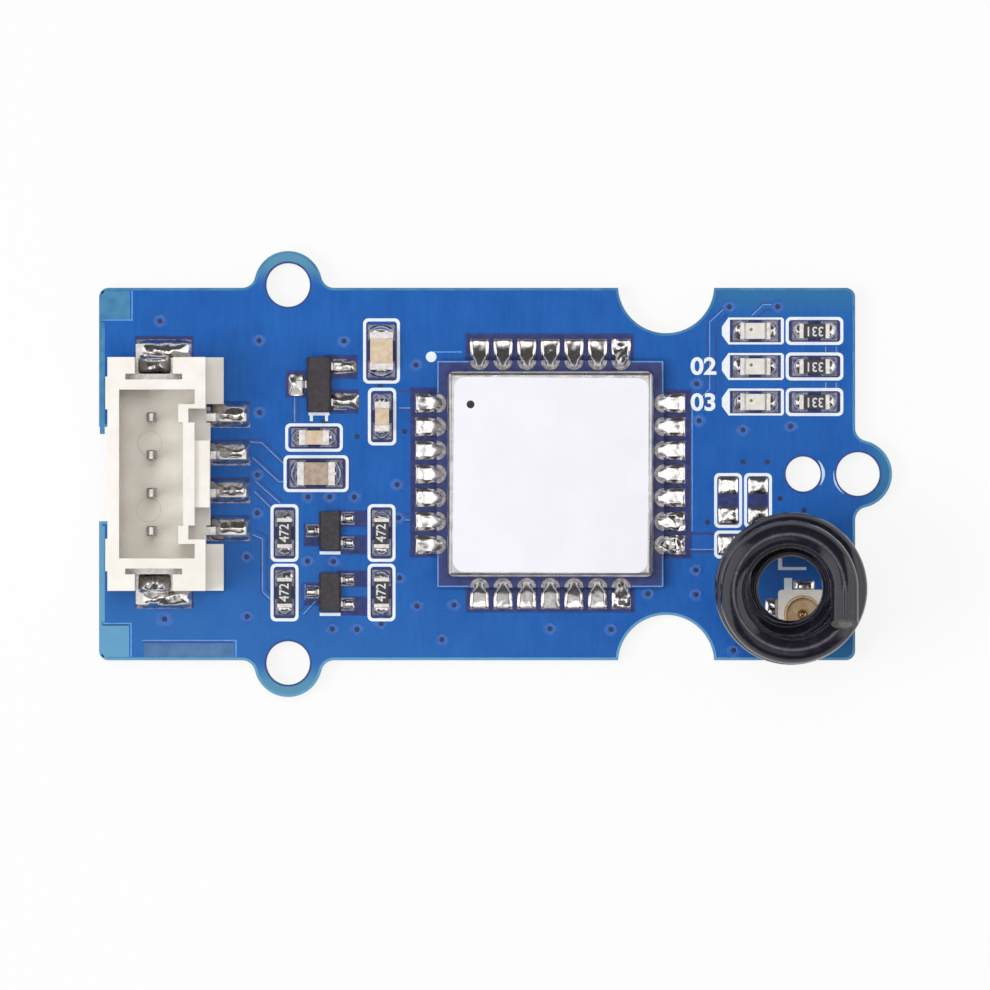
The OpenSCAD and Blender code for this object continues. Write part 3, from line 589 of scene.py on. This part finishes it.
trace([(690, 542.5), (716, 542.5)], 7.5, 3.0)
trace([(726, 310), (712, 323), (712, 390), (700, 402)], 3.0, 1.6)
trace([(774, 306.5), (764, 306.5), (753, 317)], 2.6, 1.4)
for x in (827, 837.5):
    for y in (346.5, 382.5):
        trace([(x, y), (x, y + 6)], 2.0, 1.4)
trace([(249, 441), (262, 442), (284, 463)], 1.4, 1.6)
trace([(253, 457), (279, 481), (287, 481)], 1.4, 1.6)
trace([(255, 480), (281, 503)], 1.4, 1.6)
trace([(255, 491), (272, 508)], 1.4, 1.6)
trace([(253, 533), (264, 538), (264, 591), (271, 598)], 2.2, 1.8)
trace([(295.5, 396), (295.5, 422)], 1.6, 1.8)
trace([(399, 400.5), (410, 400.5)], 8.0, 2.4)
trace([(302, 613), (314, 600)], 2.4, 1.6)
trace([(304, 600), (304, 584)], 1.4, 1.6)
trace([(400, 517.5), (410, 517.5)], 3.0, 2.4)
bright_line([(692, 408), (692, 531)])
bright_line([(132, 291), (132, 320), (102, 320)])
bright_line([(103, 623.5), (131, 623.5), (131, 657)])
bright_line([(236, 657), (236, 640.5), (142.5, 640.5)])
gap_line([(142.5, 642), (233, 642)], 1.6)
gap_line([(103, 625), (129, 625)], 1.2)
bright_line([(434, 360), (434, 352), (462, 352)])
edges.build("copper_edge_highlights", painted_edge_highlight)
gaps.build("copper_gaps", painted_shade_navy)

# Mask openings round the pads, laminate left bare in them and darkened as painted shade

openings = Shape()
# The rims at the openings' edges are painted shade.
rims = Shape()
RIM = [(-0.03, 0.0), (-0.01, 0.014), (0.015, 0.014), (0.05, 0.0)]


def opening(x0, x1, y0, y1):
    flat_patch(openings, rectangle(x0, x1, y0, y1), BOARD_TOP + GAP_Z)
    ribbon(rims, rectangle(x0, x1, y0, y1), RIM, BOARD_TOP, True)


for edges_px in [(466, 633.5, 334, 361), (466, 634.5, 579, 612), (410.5, 441, 388, 557),
                 (662, 691, 390, 558)]:
    opening(*edges_px)
for edges_px in [(286, 308, 371, 397), (325, 357, 355.5, 378.5), (325, 358, 390, 413),
                 (304, 320, 524, 546), (304, 320, 583, 605),
                 (338, 366.5, 511, 526.5), (338, 366.5, 536, 554),
                 (338, 366.5, 571, 586.5), (338, 366.5, 597, 615),
                 (200, 249.5, 402, 427), (200, 249.5, 440, 465),
                 (200, 249.5, 478, 503), (200, 249.5, 516, 541),
                 (135.5, 193, 336.5, 358), (135.5, 193, 588, 607)]:
    opening(*edges_px)
for edges_px in [(366, 396.5, 324, 382.5), (370.5, 393.5, 392.5, 443.5),
                 (290.5, 342.5, 425.5, 448.5), (287.5, 349.5, 456.5, 489.5),
                 (272.5, 296.5, 507.5, 560.5), (272.5, 296.5, 567.5, 619.5),
                 (369.5, 393.5, 507.5, 560.5), (369.5, 393.5, 567.5, 619.5),
                 (730, 780.5, 319.5, 342.5), (730, 780.5, 355.5, 378.5),
                 (730, 780.5, 391.5, 414.5), (787.5, 841.5, 319.5, 342.5),
                 (787.5, 841.5, 355.5, 378.5), (787.5, 841.5, 391.5, 414.5),
                 (718.5, 737.5, 476.5, 524.5), (748.5, 767.5, 476.5, 524.5),
                 (719, 764, 535, 554)]:
    opening(*edges_px)
openings.build("mask_openings", bare_navy_and_shade, smooth=False)
rims.build("mask_rims", painted_shade_navy)

# Vias under the mask, each hole a dark dot of painted shade

VIAS = [
    (160, 321), (259, 340.5), (344, 341), (416, 365), (259.5, 412.5), (357, 436.5),
    (404.6, 431.4), (397, 484.6), (380.4, 386.4), (323.6, 421.9), (257.3, 474.9),
    (257.3, 512.9), (308, 496.8), (329.5, 496.8), (354.4, 497), (307.5, 561), (333.5, 561.5),
    (398.5, 517.8), (399.5, 578), (381, 561), (381, 623.5), (332.3, 629), (357, 629.4),
    (417, 606), (454, 605), (246.6, 556.8), (247, 616.4), (441.8, 639.6), (550, 628.8),
    (611, 629.5), (648, 593.7), (729.3, 306.8), (777.6, 306.6), (828, 343.2), (696.7, 383.8),
    (699, 420.7), (743, 430), (790.8, 426.5), (743, 462), (767.4, 462), (780, 498.4),
    (804, 510), (707.3, 522.2), (696, 570), (696, 594.4), (733.6, 650.6),
]
BIG_VIA = (164.5, 619)
PLAIN_VIAS = {(404.6, 431.4), (380.4, 386.4), (357, 436.5), (323.6, 421.9), (381, 561),
              (743, 462), (767.4, 462), (780, 498.4), (804, 510), (707.3, 522.2),
              (828, 343.2)}
via_rings = Shape()
via_dots = Shape()
RING = [(0.38, 0.0), (0.31, 0.022), (0.24, 0.026), (0.17, 0.014), (0.11, 0.008)]
DOT = [(0.135, 0.010), (0.12, 0.013), (0.02, 0.012)]
for px, py in VIAS + [BIG_VIA]:
    x, y = spot(px, py)
    size = 1.35 if (px, py) == BIG_VIA else 1.0
    if (px, py) not in PLAIN_VIAS:
        disc(via_rings, x, y, [(r * size, up) for r, up in RING], BOARD_TOP)
    disc(via_dots, x, y, DOT, BOARD_TOP)
    disc(via_dots, x, y, [(r, -up * 0.3) for r, up in DOT][::-1], 0.0)
via_rings.build("via_rings", via_blue)
via_dots.build("via_dots", painted_via_shade)


# Solder

def lump(x, y, amount, seed):
    """A gentle unevenness, the same on each run."""
    if amount == 0:
        return 0.0
    return amount * noise.noise(Vector((x * 2.3 + seed * 7.1, y * 2.3 - seed * 3.7, seed * 1.9)))


def joint(shape, at, turn, length, height, width, toe=0.03, power=1.8, hole=0.0,
          corner=0.2, lumps=0.0, seed=0.0, start=0.0):
    """Solder that wets a wall and runs out along a pad. The local X points away from the wall."""
    steps_out, steps_over = 16, 12
    spin = Matrix.Rotation(math.radians(turn), 2)
    rows = []
    for j in range(-steps_over, steps_over + 1):
        across = j / steps_over
        row = []
        for i in range(steps_out + 1):
            y = across * width / 2
            wall = -math.sqrt(max(hole * hole - y * y, 0)) + start
            part = i / steps_out
            end = length - corner * abs(across) ** 6
            x = wall + (end - wall) * part
            rise = toe + (height - toe) * (1 - part) ** power
            inside = min(max((x + 0.1) / 0.4, 0), 1) if hole else 1
            bulge = 1 - abs(across) ** (1.4 + 1.8 * part) * inside * 0.97
            edge = min((1 - part) / 0.06, 1)
            z = (rise * bulge + lump(x, y, lumps, seed) * bulge * edge) * (0.25 + 0.75 * edge)
            place = spin @ Vector((x, y))
            row.append((at[0] + place.x, at[1] + place.y, at[2] + max(z, 0.004)))
        skirt = (row[-1][0], row[-1][1], at[2])
        rows.append(row + [skirt])
    first = [(x, y, at[2]) for x, y, z in rows[0]]
    last = [(x, y, at[2]) for x, y, z in rows[-1]]
    shape.sheet([first] + rows + [last], flip=True)


def mound(shape, at, turn, half_x, half_y, height, lumps=0.0, seed=0.0, along=3.0, across=3.0):
    """A pool of solder on a pad. Along and across, a higher number gives a flatter top."""
    rings, sides = 9, 36
    spin = Matrix.Rotation(math.radians(turn), 2)
    rows = []
    for k in range(sides):
        angle = 2 * math.pi * k / sides
        c, s = math.cos(angle), math.sin(angle)
        reach = (c ** 6 + s ** 6) ** (-1 / 6)
        row = []
        for i in range(rings + 1):
            part = 1 - i / rings * 0.97
            u, v = reach * c * part, reach * s * part
            x, y = half_x * u, half_y * v
            full = (1 - abs(u) ** along) * (1 - abs(v) ** across) if i else 0
            z = height * full + lump(x, y, lumps, seed) * (1 - part ** 4)
            place = spin @ Vector((x, y))
            row.append((at[0] + place.x, at[1] + place.y, at[2] + max(z, 0.0)))
        rows.append(row)
    shape.sheet(rows, closed=True, flip=True)


def dome(shape, at, turn, reach, half_width, height, lumps=0.0, seed=0.0, fullness=2.2):
    """Half of a rounded pool of solder, highest where it meets a chip's end."""
    rings, sides = 10, 22
    spin = Matrix.Rotation(math.radians(turn), 2)
    rows = []
    for k in range(sides + 1):
        angle = math.pi * (k / sides - 0.5)
        row = []
        for i in range(rings + 1):
            part = 1 - i / rings
            x, y = reach * math.cos(angle) * part, half_width * math.sin(angle) * part
            z = height * (1 - part ** fullness) + lump(x, y, lumps, seed) * (1 - part ** 4)
            place = spin @ Vector((x, y))
            row.append((at[0] + place.x, at[1] + place.y, at[2] + max(z, 0.0)))
        rows.append(row)
    shape.sheet(rows, flip=True)


MODULE_X = (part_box("module_board")[0].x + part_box("module_board")[1].x) / 2 / MM
MODULE_HALF = (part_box("module_board")[1].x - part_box("module_board")[0].x) / 2 / MM
TERMINAL_PITCH = 1.25
module_joints = Shape()
for side in range(4):
    for i in range(7):
        along = (i - 3) * TERMINAL_PITCH
        angle = math.radians(90 * side)
        x = MODULE_X + MODULE_HALF * math.cos(angle) - along * math.sin(angle)
        y = MODULE_HALF * math.sin(angle) + along * math.cos(angle)
        rough_one = (side, i) in ((0, 0), (0, 1), (1, 0), (3, 6))
        joint(module_joints, (x, y, PAD_TOP), 90 * side, 1.14, 0.66, 1.02, toe=0.06,
              power=2.3, hole=0.3, lumps=0.2 if rough_one else 0.04, seed=side * 7 + i)
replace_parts(module_joints.build("module_joints", solder, sharp=80), "module_solder")

# The cut edge of the module's board catches the light at its four corners
corner_lines = Shape()
FROM_CORNER, INSET = 4.3, 0.06
for quarter in range(4):
    spin = Matrix.Rotation(math.radians(90 * quarter), 2)
    edge_at = MODULE_HALF - INSET
    turns = [(FROM_CORNER, edge_at), (edge_at, edge_at), (edge_at, FROM_CORNER)]
    points = [spin @ Vector(p) + Vector((MODULE_X, 0)) for p in turns]
    ribbon(corner_lines, points, EDGE_PROFILE, MODULE_TOP)
corner_lines.build("module_corner_lines", painted_edge_highlight)

SMALL = (1.6, 0.8)
LARGE = (2.0, 1.25)
CAPACITORS = [((381, 351), 90, LARGE, 1.1), ((381.6, 416.5), 90, SMALL, 0.8),
              ((313.9, 437.5), 0, SMALL, 0.8), ((316, 473.6), 0, LARGE, 1.1)]
left_column = 9.81 * PX_PER_MM + 99.07
right_column = 14.94 * PX_PER_MM + 99.07
RESISTORS = [((left_column, 533), 90), ((left_column, 592.5), 90),
             ((right_column, 533), 90), ((right_column, 592.5), 90)]
LIGHT_ROWS = [331, 366.5, 402]
part_joints = Shape()
seed = 40
for at, turn, (length, width), height in CAPACITORS:
    x, y = spot(*at)
    for way in (0, 180):
        seed += 1
        c, s = math.cos(math.radians(turn + way)), math.sin(math.radians(turn + way))
        place = (x + c * length / 2, y + s * length / 2, PAD_TOP)
        dome(part_joints, place, turn + way, 0.39, width * 0.53, height * 0.5, lumps=0.05,
             seed=seed, fullness=1.6)
for at, turn in RESISTORS + [((814.5, y), 0) for y in LIGHT_ROWS] + [((755.3, y), 0) for y in LIGHT_ROWS]:
    x, y = spot(*at)
    for way in (0, 180):
        seed += 1
        c, s = math.cos(math.radians(turn + way)), math.sin(math.radians(turn + way))
        place = (x + c * 0.8, y + s * 0.8, PAD_TOP)
        dome(part_joints, place, turn + way, 0.37, 0.44, 0.3, lumps=0.12, seed=seed)
for at, turn in [((728, 500.5), 90), ((758, 500.5), 90), ((741.5, 544.5), 0)]:
    x, y = spot(*at)
    for way in (-1, 1):
        seed += 1
        c, s = math.cos(math.radians(turn)), math.sin(math.radians(turn))
        mound(part_joints, (x + way * c * 0.79, y + way * s * 0.79, PAD_TOP), turn, 0.46, 0.52,
              0.09, lumps=0.05, seed=seed, along=4.0, across=4.0)

# Bent leads: a pool under each foot
PACKAGES = [("transistor_1_leads", 0.65, 0.42, 0.27), ("transistor_2_leads", 0.65, 0.42, 0.27)]
REGULATOR_POOLS = [(341.5, 367, 0.8, 0.34, 0.2), (344, 401, 0.8, 0.42, 0.26),
                   (296.5, 385, 0.42, 0.56, 0.1)]
for px, py, half_x, half_y, height in REGULATOR_POOLS:
    seed += 1
    x, y = spot(px, py)
    mound(part_joints, (x, y, PAD_TOP), 0, half_x, half_y, height, lumps=0.08, seed=seed,
          along=4.0, across=2.0)
for name, spacing, half_x, half_y in PACKAGES:
    low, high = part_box(name)
    x, y = (low.x + high.x) / 2 / MM, (low.y + high.y) / 2 / MM
    reach = (high.x - low.x) / 2 / MM
    for way, across in ((1, spacing), (1, -spacing), (-1, 0)):
        seed += 1
        mound(part_joints, (x + way * (reach - 0.02), y + across, PAD_TOP), 0, half_x * 0.82,
              half_y, 0.2, lumps=0.06, seed=seed, along=4.0, across=2.4)

# The socket's four leads and its two fixing tabs
PIN_POOLS = [(230.5, 414.5, 1.05, 0.66), (229.5, 452.5, 1.1, 0.6), (229.5, 490.5, 1.1, 0.6),
             (230.5, 528.5, 1.05, 0.64)]
for px, py, half_x, half_y in PIN_POOLS:
    seed += 1
    x, y = spot(px, py)
    mound(part_joints, (x, y, PAD_TOP), 0, half_x, half_y, 0.64, lumps=0.12, seed=seed, along=5.0,
          across=1.7)
TAB_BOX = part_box("socket_tabs")
tab_x = (TAB_BOX[0].x + TAB_BOX[1].x) / 2 / MM
tab_y = TAB_BOX[1].y / MM
for way in (1, -1):
    seed += 1
    mound(part_joints, (tab_x + 0.55, way * (tab_y - 0.37), PAD_TOP), 0, 1.42, 0.56, 0.5,
          lumps=0.18, seed=seed, along=5.0, across=2.4)
    mound(part_joints, (tab_x, way * (tab_y - 1.1), PAD_TOP), 0, 0.95, 0.6, 1.0, lumps=0.24,
          seed=seed + 0.5, along=4.0, across=4.0)

# The coax socket's three joints and the antenna's
for px, py, half_x, half_y, height in [(771.5, 608, 0.36, 0.5, 0.14), (833, 612, 0.36, 0.5, 0.14),
                                       (804, 586, 0.56, 0.3, 0.2)]:
    seed += 1
    x, y = spot(px, py)
    mound(part_joints, (x, y, PAD_TOP), 0, half_x, half_y, height, lumps=0.05, seed=seed,
          along=4.0, across=4.0)
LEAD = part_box("antenna_lead")
lead_x, lead_y = (LEAD[0].x + LEAD[1].x) / 2 / MM, (LEAD[0].y + LEAD[1].y) / 2 / MM
disc(part_joints, lead_x, lead_y, [(0.85, 0.0), (0.7, 0.1), (0.56, 0.24), (0.46, 0.32)],
     PAD_TOP, 32)
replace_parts(part_joints.build("part_joints", solder, sharp=80), "part_solder")


# The wound antenna

BOARD_RIGHT = 19.025
COIL_X, COIL_Y = BOARD_RIGHT - 3.45, -6.05
COIL_TOP, COIL_PITCH, COIL_SWEEP = 12.515, 2.1, 1500
COIL_TAIL, LEG_BEND, STRIP_Z = 2.1, 0.95, 1.94
TURN_RADII = [2.8, 3.3, 3.3, 2.42, 2.42, 2.8]
WIRE_RADIUS = 0.725
CUT_SLANT = 0.36


def winding_radius(angle):
    turn = int(angle // 360)
    ease = (1 - math.cos(math.radians(180 * (angle / 360 - turn)))) / 2
    return TURN_RADII[turn] * (1 - ease) + TURN_RADII[turn + 1] * ease


def coil_point(angle):
    r = winding_radius(angle)
    turn = math.radians(angle)
    return Vector((COIL_X + r * math.cos(turn), COIL_Y + r * math.sin(turn),
                   COIL_TOP - COIL_PITCH * angle / 360))


def wire_path():
    """Points along the wire with the way that its outer side faces at each."""
    path = [(Vector((COIL_X + TURN_RADII[0], COIL_Y - COIL_TAIL * i / 8, COIL_TOP)), 0)
            for i in range(8, 0, -1)]
    path += [(coil_point(a), a) for a in range(0, COIL_SWEEP, 4)]
    start = coil_point(COIL_SWEEP)
    turn = math.radians(COIL_SWEEP)
    ahead = Vector((-math.sin(turn), math.cos(turn), 0))
    for a in range(0, 91, 9):
        bend = math.radians(a)
        down = Vector((0, 0, -LEG_BEND * (1 - math.cos(bend))))
        path.append((start + ahead * LEG_BEND * math.sin(bend) + down, COIL_SWEEP))
    foot = start + ahead * LEG_BEND
    path.append((Vector((foot.x, foot.y, STRIP_Z)), COIL_SWEEP))
    return path


def sweep(path, radius, sides):
    rings = []
    for i, (point, turn) in enumerate(path):
        way = (path[min(i + 1, len(path) - 1)][0] - path[max(i - 1, 0)][0]).normalized()
        out = Vector((math.cos(math.radians(turn)), math.sin(math.radians(turn)), 0))
        side = (out - way * out.dot(way)).normalized()
        up = way.cross(side)
        rings.append([point + radius * (math.cos(2 * math.pi * j / sides) * side
                                        + math.sin(2 * math.pi * j / sides) * up)
                      for j in range(sides + 1)])
    return rings


wire = Shape()
path = wire_path()
rings = sweep(path, WIRE_RADIUS, 40)
slant_from = path[0][0].z - WIRE_RADIUS
for ring in rings[:4]:
    share = 1 - rings.index(ring) / 4
    for j, p in enumerate(ring):
        ring[j] = Vector((p.x, p.y + share * (p.z - slant_from) * CUT_SLANT, p.z))
wire.sheet(rings)
coil_piece = wire.build("antenna_wire", wire_jacket, sharp=60)
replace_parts(coil_piece, "antenna_coil")

cut = Shape()
core = Shape()
centre = sum(rings[0][:-1], Vector()) / (len(rings[0]) - 1)


def end_ring(share, push):
    return [centre + (p - centre) * share + Vector((0, push, 0)) for p in rings[0]]


cut.sheet([end_ring(1.0, 0.0), end_ring(0.97, -0.03), end_ring(0.64, -0.02), end_ring(0.6, 0.03)],
          flip=True)
core.sheet([end_ring(0.63, 0.02), end_ring(0.6, -0.04), end_ring(0.3, -0.05),
            end_ring(0.01, -0.05)], flip=True)
cut.build("antenna_cut", cut_gray)
core.build("antenna_core", dull_core)


# Printed digits, the label's dot and the lights' chips

def digits(name, text, at, z, height, turn, finish, squeeze=1.0, thick=0.006, bold=0.0):
    curve = bpy.data.curves.new(name, "FONT")
    curve.body = text
    curve.align_x, curve.align_y = "CENTER", "CENTER"
    curve.size = height * 1.42 * MM
    curve.extrude = thick / 2 * MM
    curve.offset = bold * MM
    draft = bpy.data.objects.new(name + "_draft", curve)
    bpy.context.scene.collection.objects.link(draft)
    bpy.context.view_layer.update()
    mesh = bpy.data.meshes.new_from_object(draft.evaluated_get(bpy.context.evaluated_depsgraph_get()))
    bpy.data.objects.remove(draft)
    x, y = spot(*at)
    mesh.transform(Matrix.Translation((x * MM, y * MM, (z + thick / 2) * MM))
                   @ Matrix.Rotation(math.radians(turn), 4, "Z")
                   @ Matrix.Diagonal((squeeze, 1, 1, 1)))
    mesh.materials.clear()
    mesh.materials.append(finish.material)
    piece = bpy.data.objects.new(name, mesh)
    bpy.context.scene.collection.objects.link(piece)
    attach(piece, "root")


RESISTOR_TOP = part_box("resistor_1_body")[1].z / MM
for i, (at, turn) in enumerate(RESISTORS):
    digits(f"code_{i + 1}", "472", at, RESISTOR_TOP, 0.5, turn, printed_gray, 0.92,
           bold=0.008)
for i, row in enumerate(LIGHT_ROWS):
    digits(f"code_{i + 5}", "331", (814.5, row), RESISTOR_TOP, 0.5, 180, printed_gray,
           0.92, bold=0.008)
for text, px, py in (("02", 703.5, 367), ("03", 703.5, 403)):
    digits(f"number_{text}", text, (px, py), BOARD_TOP, 0.88, 0, white_print, 1.1,
           0.02, 0.035)

dot = Shape()
x, y = spot(470.5, 404.5)
disc(dot, x, y, [(0.21, 0.0), (0.205, 0.006), (0.0, 0.006)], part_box("can_label")[1].z / MM, 28)
dot.build("label_dot", printed_black)

# Ejector marks on the socket's floor, and the moulded well of the coax socket
marks = Shape()
CAVITY_FLOOR = PAD_TOP + 1.1
for px, py in ((150, 443), (149, 510)):
    x, y = spot(px, py)
    disc(marks, x, y, [(0.66, 0.0), (0.65, 0.012), (0.62, 0.012), (0.61, 0.0)], CAVITY_FLOOR, 40)
marks.build("ejector_marks", cavity_line)

well = Shape()
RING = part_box("coax_ring")
x, y = (RING[0].x + RING[1].x) / 2 / MM, (RING[0].y + RING[1].y) / 2 / MM
disc(well, x, y, [(0.87, 0.3), (0.84, 0.12), (0.62, 0.05), (0.28, 0.05), (0.265, 0.0)],
     RING[0].z / MM, 32)
well.build("coax_well", well_tan)

chips = Shape()
LENS_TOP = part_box("light_1_lens")[1].z / MM
for row in LIGHT_ROWS:
    x, y = spot(751, row - 1.5)
    disc(chips, x, y, [(0.09, 0.0), (0.075, 0.004), (0.0, 0.004)], LENS_TOP, 16)
chips.build("light_chips", chip_dark)


# Floor, light and camera

def floor_finish():
    """A pale floor that reads as white and keeps a faint shadow."""
    made = Finish("floor", rough=0.9, specular=0.0)
    made.feed("Base Color", made.mix(made.cloud(60, 2), (0.86, 0.86, 0.86, 1), (0.9, 0.9, 0.9, 1)))
    glow = made.add("ShaderNodeEmission")
    glow.inputs["Color"].default_value = (1, 1, 1, 1)
    glow.inputs["Strength"].default_value = 1.0
    kind = made.add("ShaderNodeLightPath").outputs
    seen = made.sum("MAXIMUM", kind["Is Camera Ray"],
                    made.sum("MAXIMUM", kind["Is Glossy Ray"], kind["Is Transmission Ray"]))
    share = made.sum("MULTIPLY", seen, 0.86)
    blend = made.add("ShaderNodeMixShader")
    made.tree.links.new(share, blend.inputs[0])
    made.tree.links.new(made.shader.outputs[0], blend.inputs[1])
    made.tree.links.new(glow.outputs[0], blend.inputs[2])
    made.tree.links.new(blend.outputs[0], made.tree.nodes["Material Output"].inputs["Surface"])
    return made


floor_mesh = bpy.data.meshes.new("floor")
reach = 1.5
floor_mesh.from_pydata([(-reach, -reach, -0.00003), (reach, -reach, -0.00003),
                        (reach, reach, -0.00003), (-reach, reach, -0.00003)], [], [[0, 1, 2, 3]])
floor = bpy.data.objects.new("floor", floor_mesh)
bpy.context.scene.collection.objects.link(floor)
floor_mesh.materials.append(floor_finish().material)


def world_light():
    """White to the camera, plain to matt surfaces, and a studio of soft boxes to glossy ones."""
    world = bpy.data.worlds.new("studio")
    bpy.context.scene.world = world
    world.use_nodes = True
    tree = world.node_tree
    tree.nodes.clear()

    def add(kind, **settings):
        made = tree.nodes.new(kind)
        for key, value in settings.items():
            setattr(made, key, value)
        return made

    def link(source, target):
        if hasattr(source, "node"):
            tree.links.new(source, target)
        else:
            target.default_value = source

    def calc(operation, a, b):
        made = add("ShaderNodeMath", operation=operation)
        link(a, made.inputs[0])
        link(b, made.inputs[1])
        return made.outputs[0]

    def step(value, start, end, low=0.0, high=1.0):
        made = add("ShaderNodeMapRange", interpolation_type="SMOOTHSTEP")
        link(value, made.inputs["Value"])
        for socket, number in (("From Min", start), ("From Max", end),
                               ("To Min", low), ("To Max", high)):
            made.inputs[socket].default_value = number
        return made.outputs["Result"]

    way = add("ShaderNodeSeparateXYZ")
    tree.links.new(add("ShaderNodeTexCoord").outputs["Generated"], way.inputs[0])
    x, y, z = way.outputs
    beside = calc("SUBTRACT", calc("ABSOLUTE", x, 0), calc("MULTIPLY", calc("ABSOLUTE", y, 0), 0.8))
    box = step(beside, 0.2, 0.4)
    side = step(x, -0.35, 0.35, BOX_LEFT, BOX_RIGHT)
    boxes = calc("MULTIPLY", box, side)
    ring = calc("MULTIPLY", step(z, 0.962, 0.97, 0.0, HOT), step(z, 0.988, 0.994, 1.0, 0.0))
    over = calc("MAXIMUM", step(z, 0.88, 0.96, 0.0, OVERHEAD), ring)
    front = calc("MULTIPLY", step(y, -0.8, -0.7), step(y, -0.42, -0.32, FRONT, 0.0))
    front = calc("MULTIPLY", front, step(calc("ABSOLUTE", x, 0), 0.22, 0.36, 1.0, 0.0))
    boxes = calc("MAXIMUM", boxes, calc("MULTIPLY", front, step(z, 0.0, 0.1)))
    above = calc("MAXIMUM", calc("MAXIMUM", boxes, over), DARK)
    glossy = calc("MAXIMUM", above, step(z, 0.02, 0.14, 1.0, 0.0))
    kind = add("ShaderNodeLightPath").outputs
    strength = calc("ADD", calc("MULTIPLY", kind["Is Glossy Ray"], glossy),
                    calc("MULTIPLY", calc("SUBTRACT", 1.0, kind["Is Glossy Ray"]), AMBIENT))
    strength = calc("MAXIMUM", calc("MULTIPLY", strength,
                                    calc("SUBTRACT", 1.0, kind["Is Camera Ray"])),
                    kind["Is Camera Ray"])
    strength = calc("MAXIMUM", strength, kind["Is Transmission Ray"])
    back = add("ShaderNodeBackground")
    back.inputs["Color"].default_value = (1, 1, 1, 1)
    tree.links.new(strength, back.inputs["Strength"])
    tree.links.new(back.outputs[0], add("ShaderNodeOutputWorld").inputs["Surface"])


BOX_LEFT, BOX_RIGHT, FRONT, OVERHEAD, HOT = 1.6, 1.6, 0.8, 0.7, 3.2
DARK, AMBIENT = 0.08, 0.46
world_light()


def lamp(name, place, size, power):
    """A square soft lamp aimed at the board's middle. Its place is in metres."""
    data = bpy.data.lights.new(name, "AREA")
    data.shape = "SQUARE"
    data.size = size
    data.energy = power
    made = bpy.data.objects.new(name, data)
    made.location = place
    made.rotation_euler = (-Vector(place)).to_track_quat("-Z", "Y").to_euler()
    made.visible_glossy = False
    made.visible_camera = False
    bpy.context.scene.collection.objects.link(made)


lamp("key", (-0.19, -0.04, 0.41), 0.14, 0.72)
lamp("overhead", (-0.022, 0.05, 0.46), 0.09, 0.56)

view = bpy.context.scene.view_settings
view.view_transform = "Standard"

# Not farther: the other views see only as far as 100 times the object's radius
CAMERA_DISTANCE = 2.2
FRAME_WIDTH = 0.05238
camera_data = bpy.data.cameras.new("camera")
camera_data.sensor_width = 36
camera_data.lens = 36 * CAMERA_DISTANCE / FRAME_WIDTH
camera_data.clip_start = 0.01
camera_data.clip_end = 10
camera = bpy.data.objects.new("camera", camera_data)
camera.location = (-0.00003, -0.00111, BOARD_TOP * MM + CAMERA_DISTANCE)
bpy.context.scene.collection.objects.link(camera)
bpy.context.scene.camera = camera
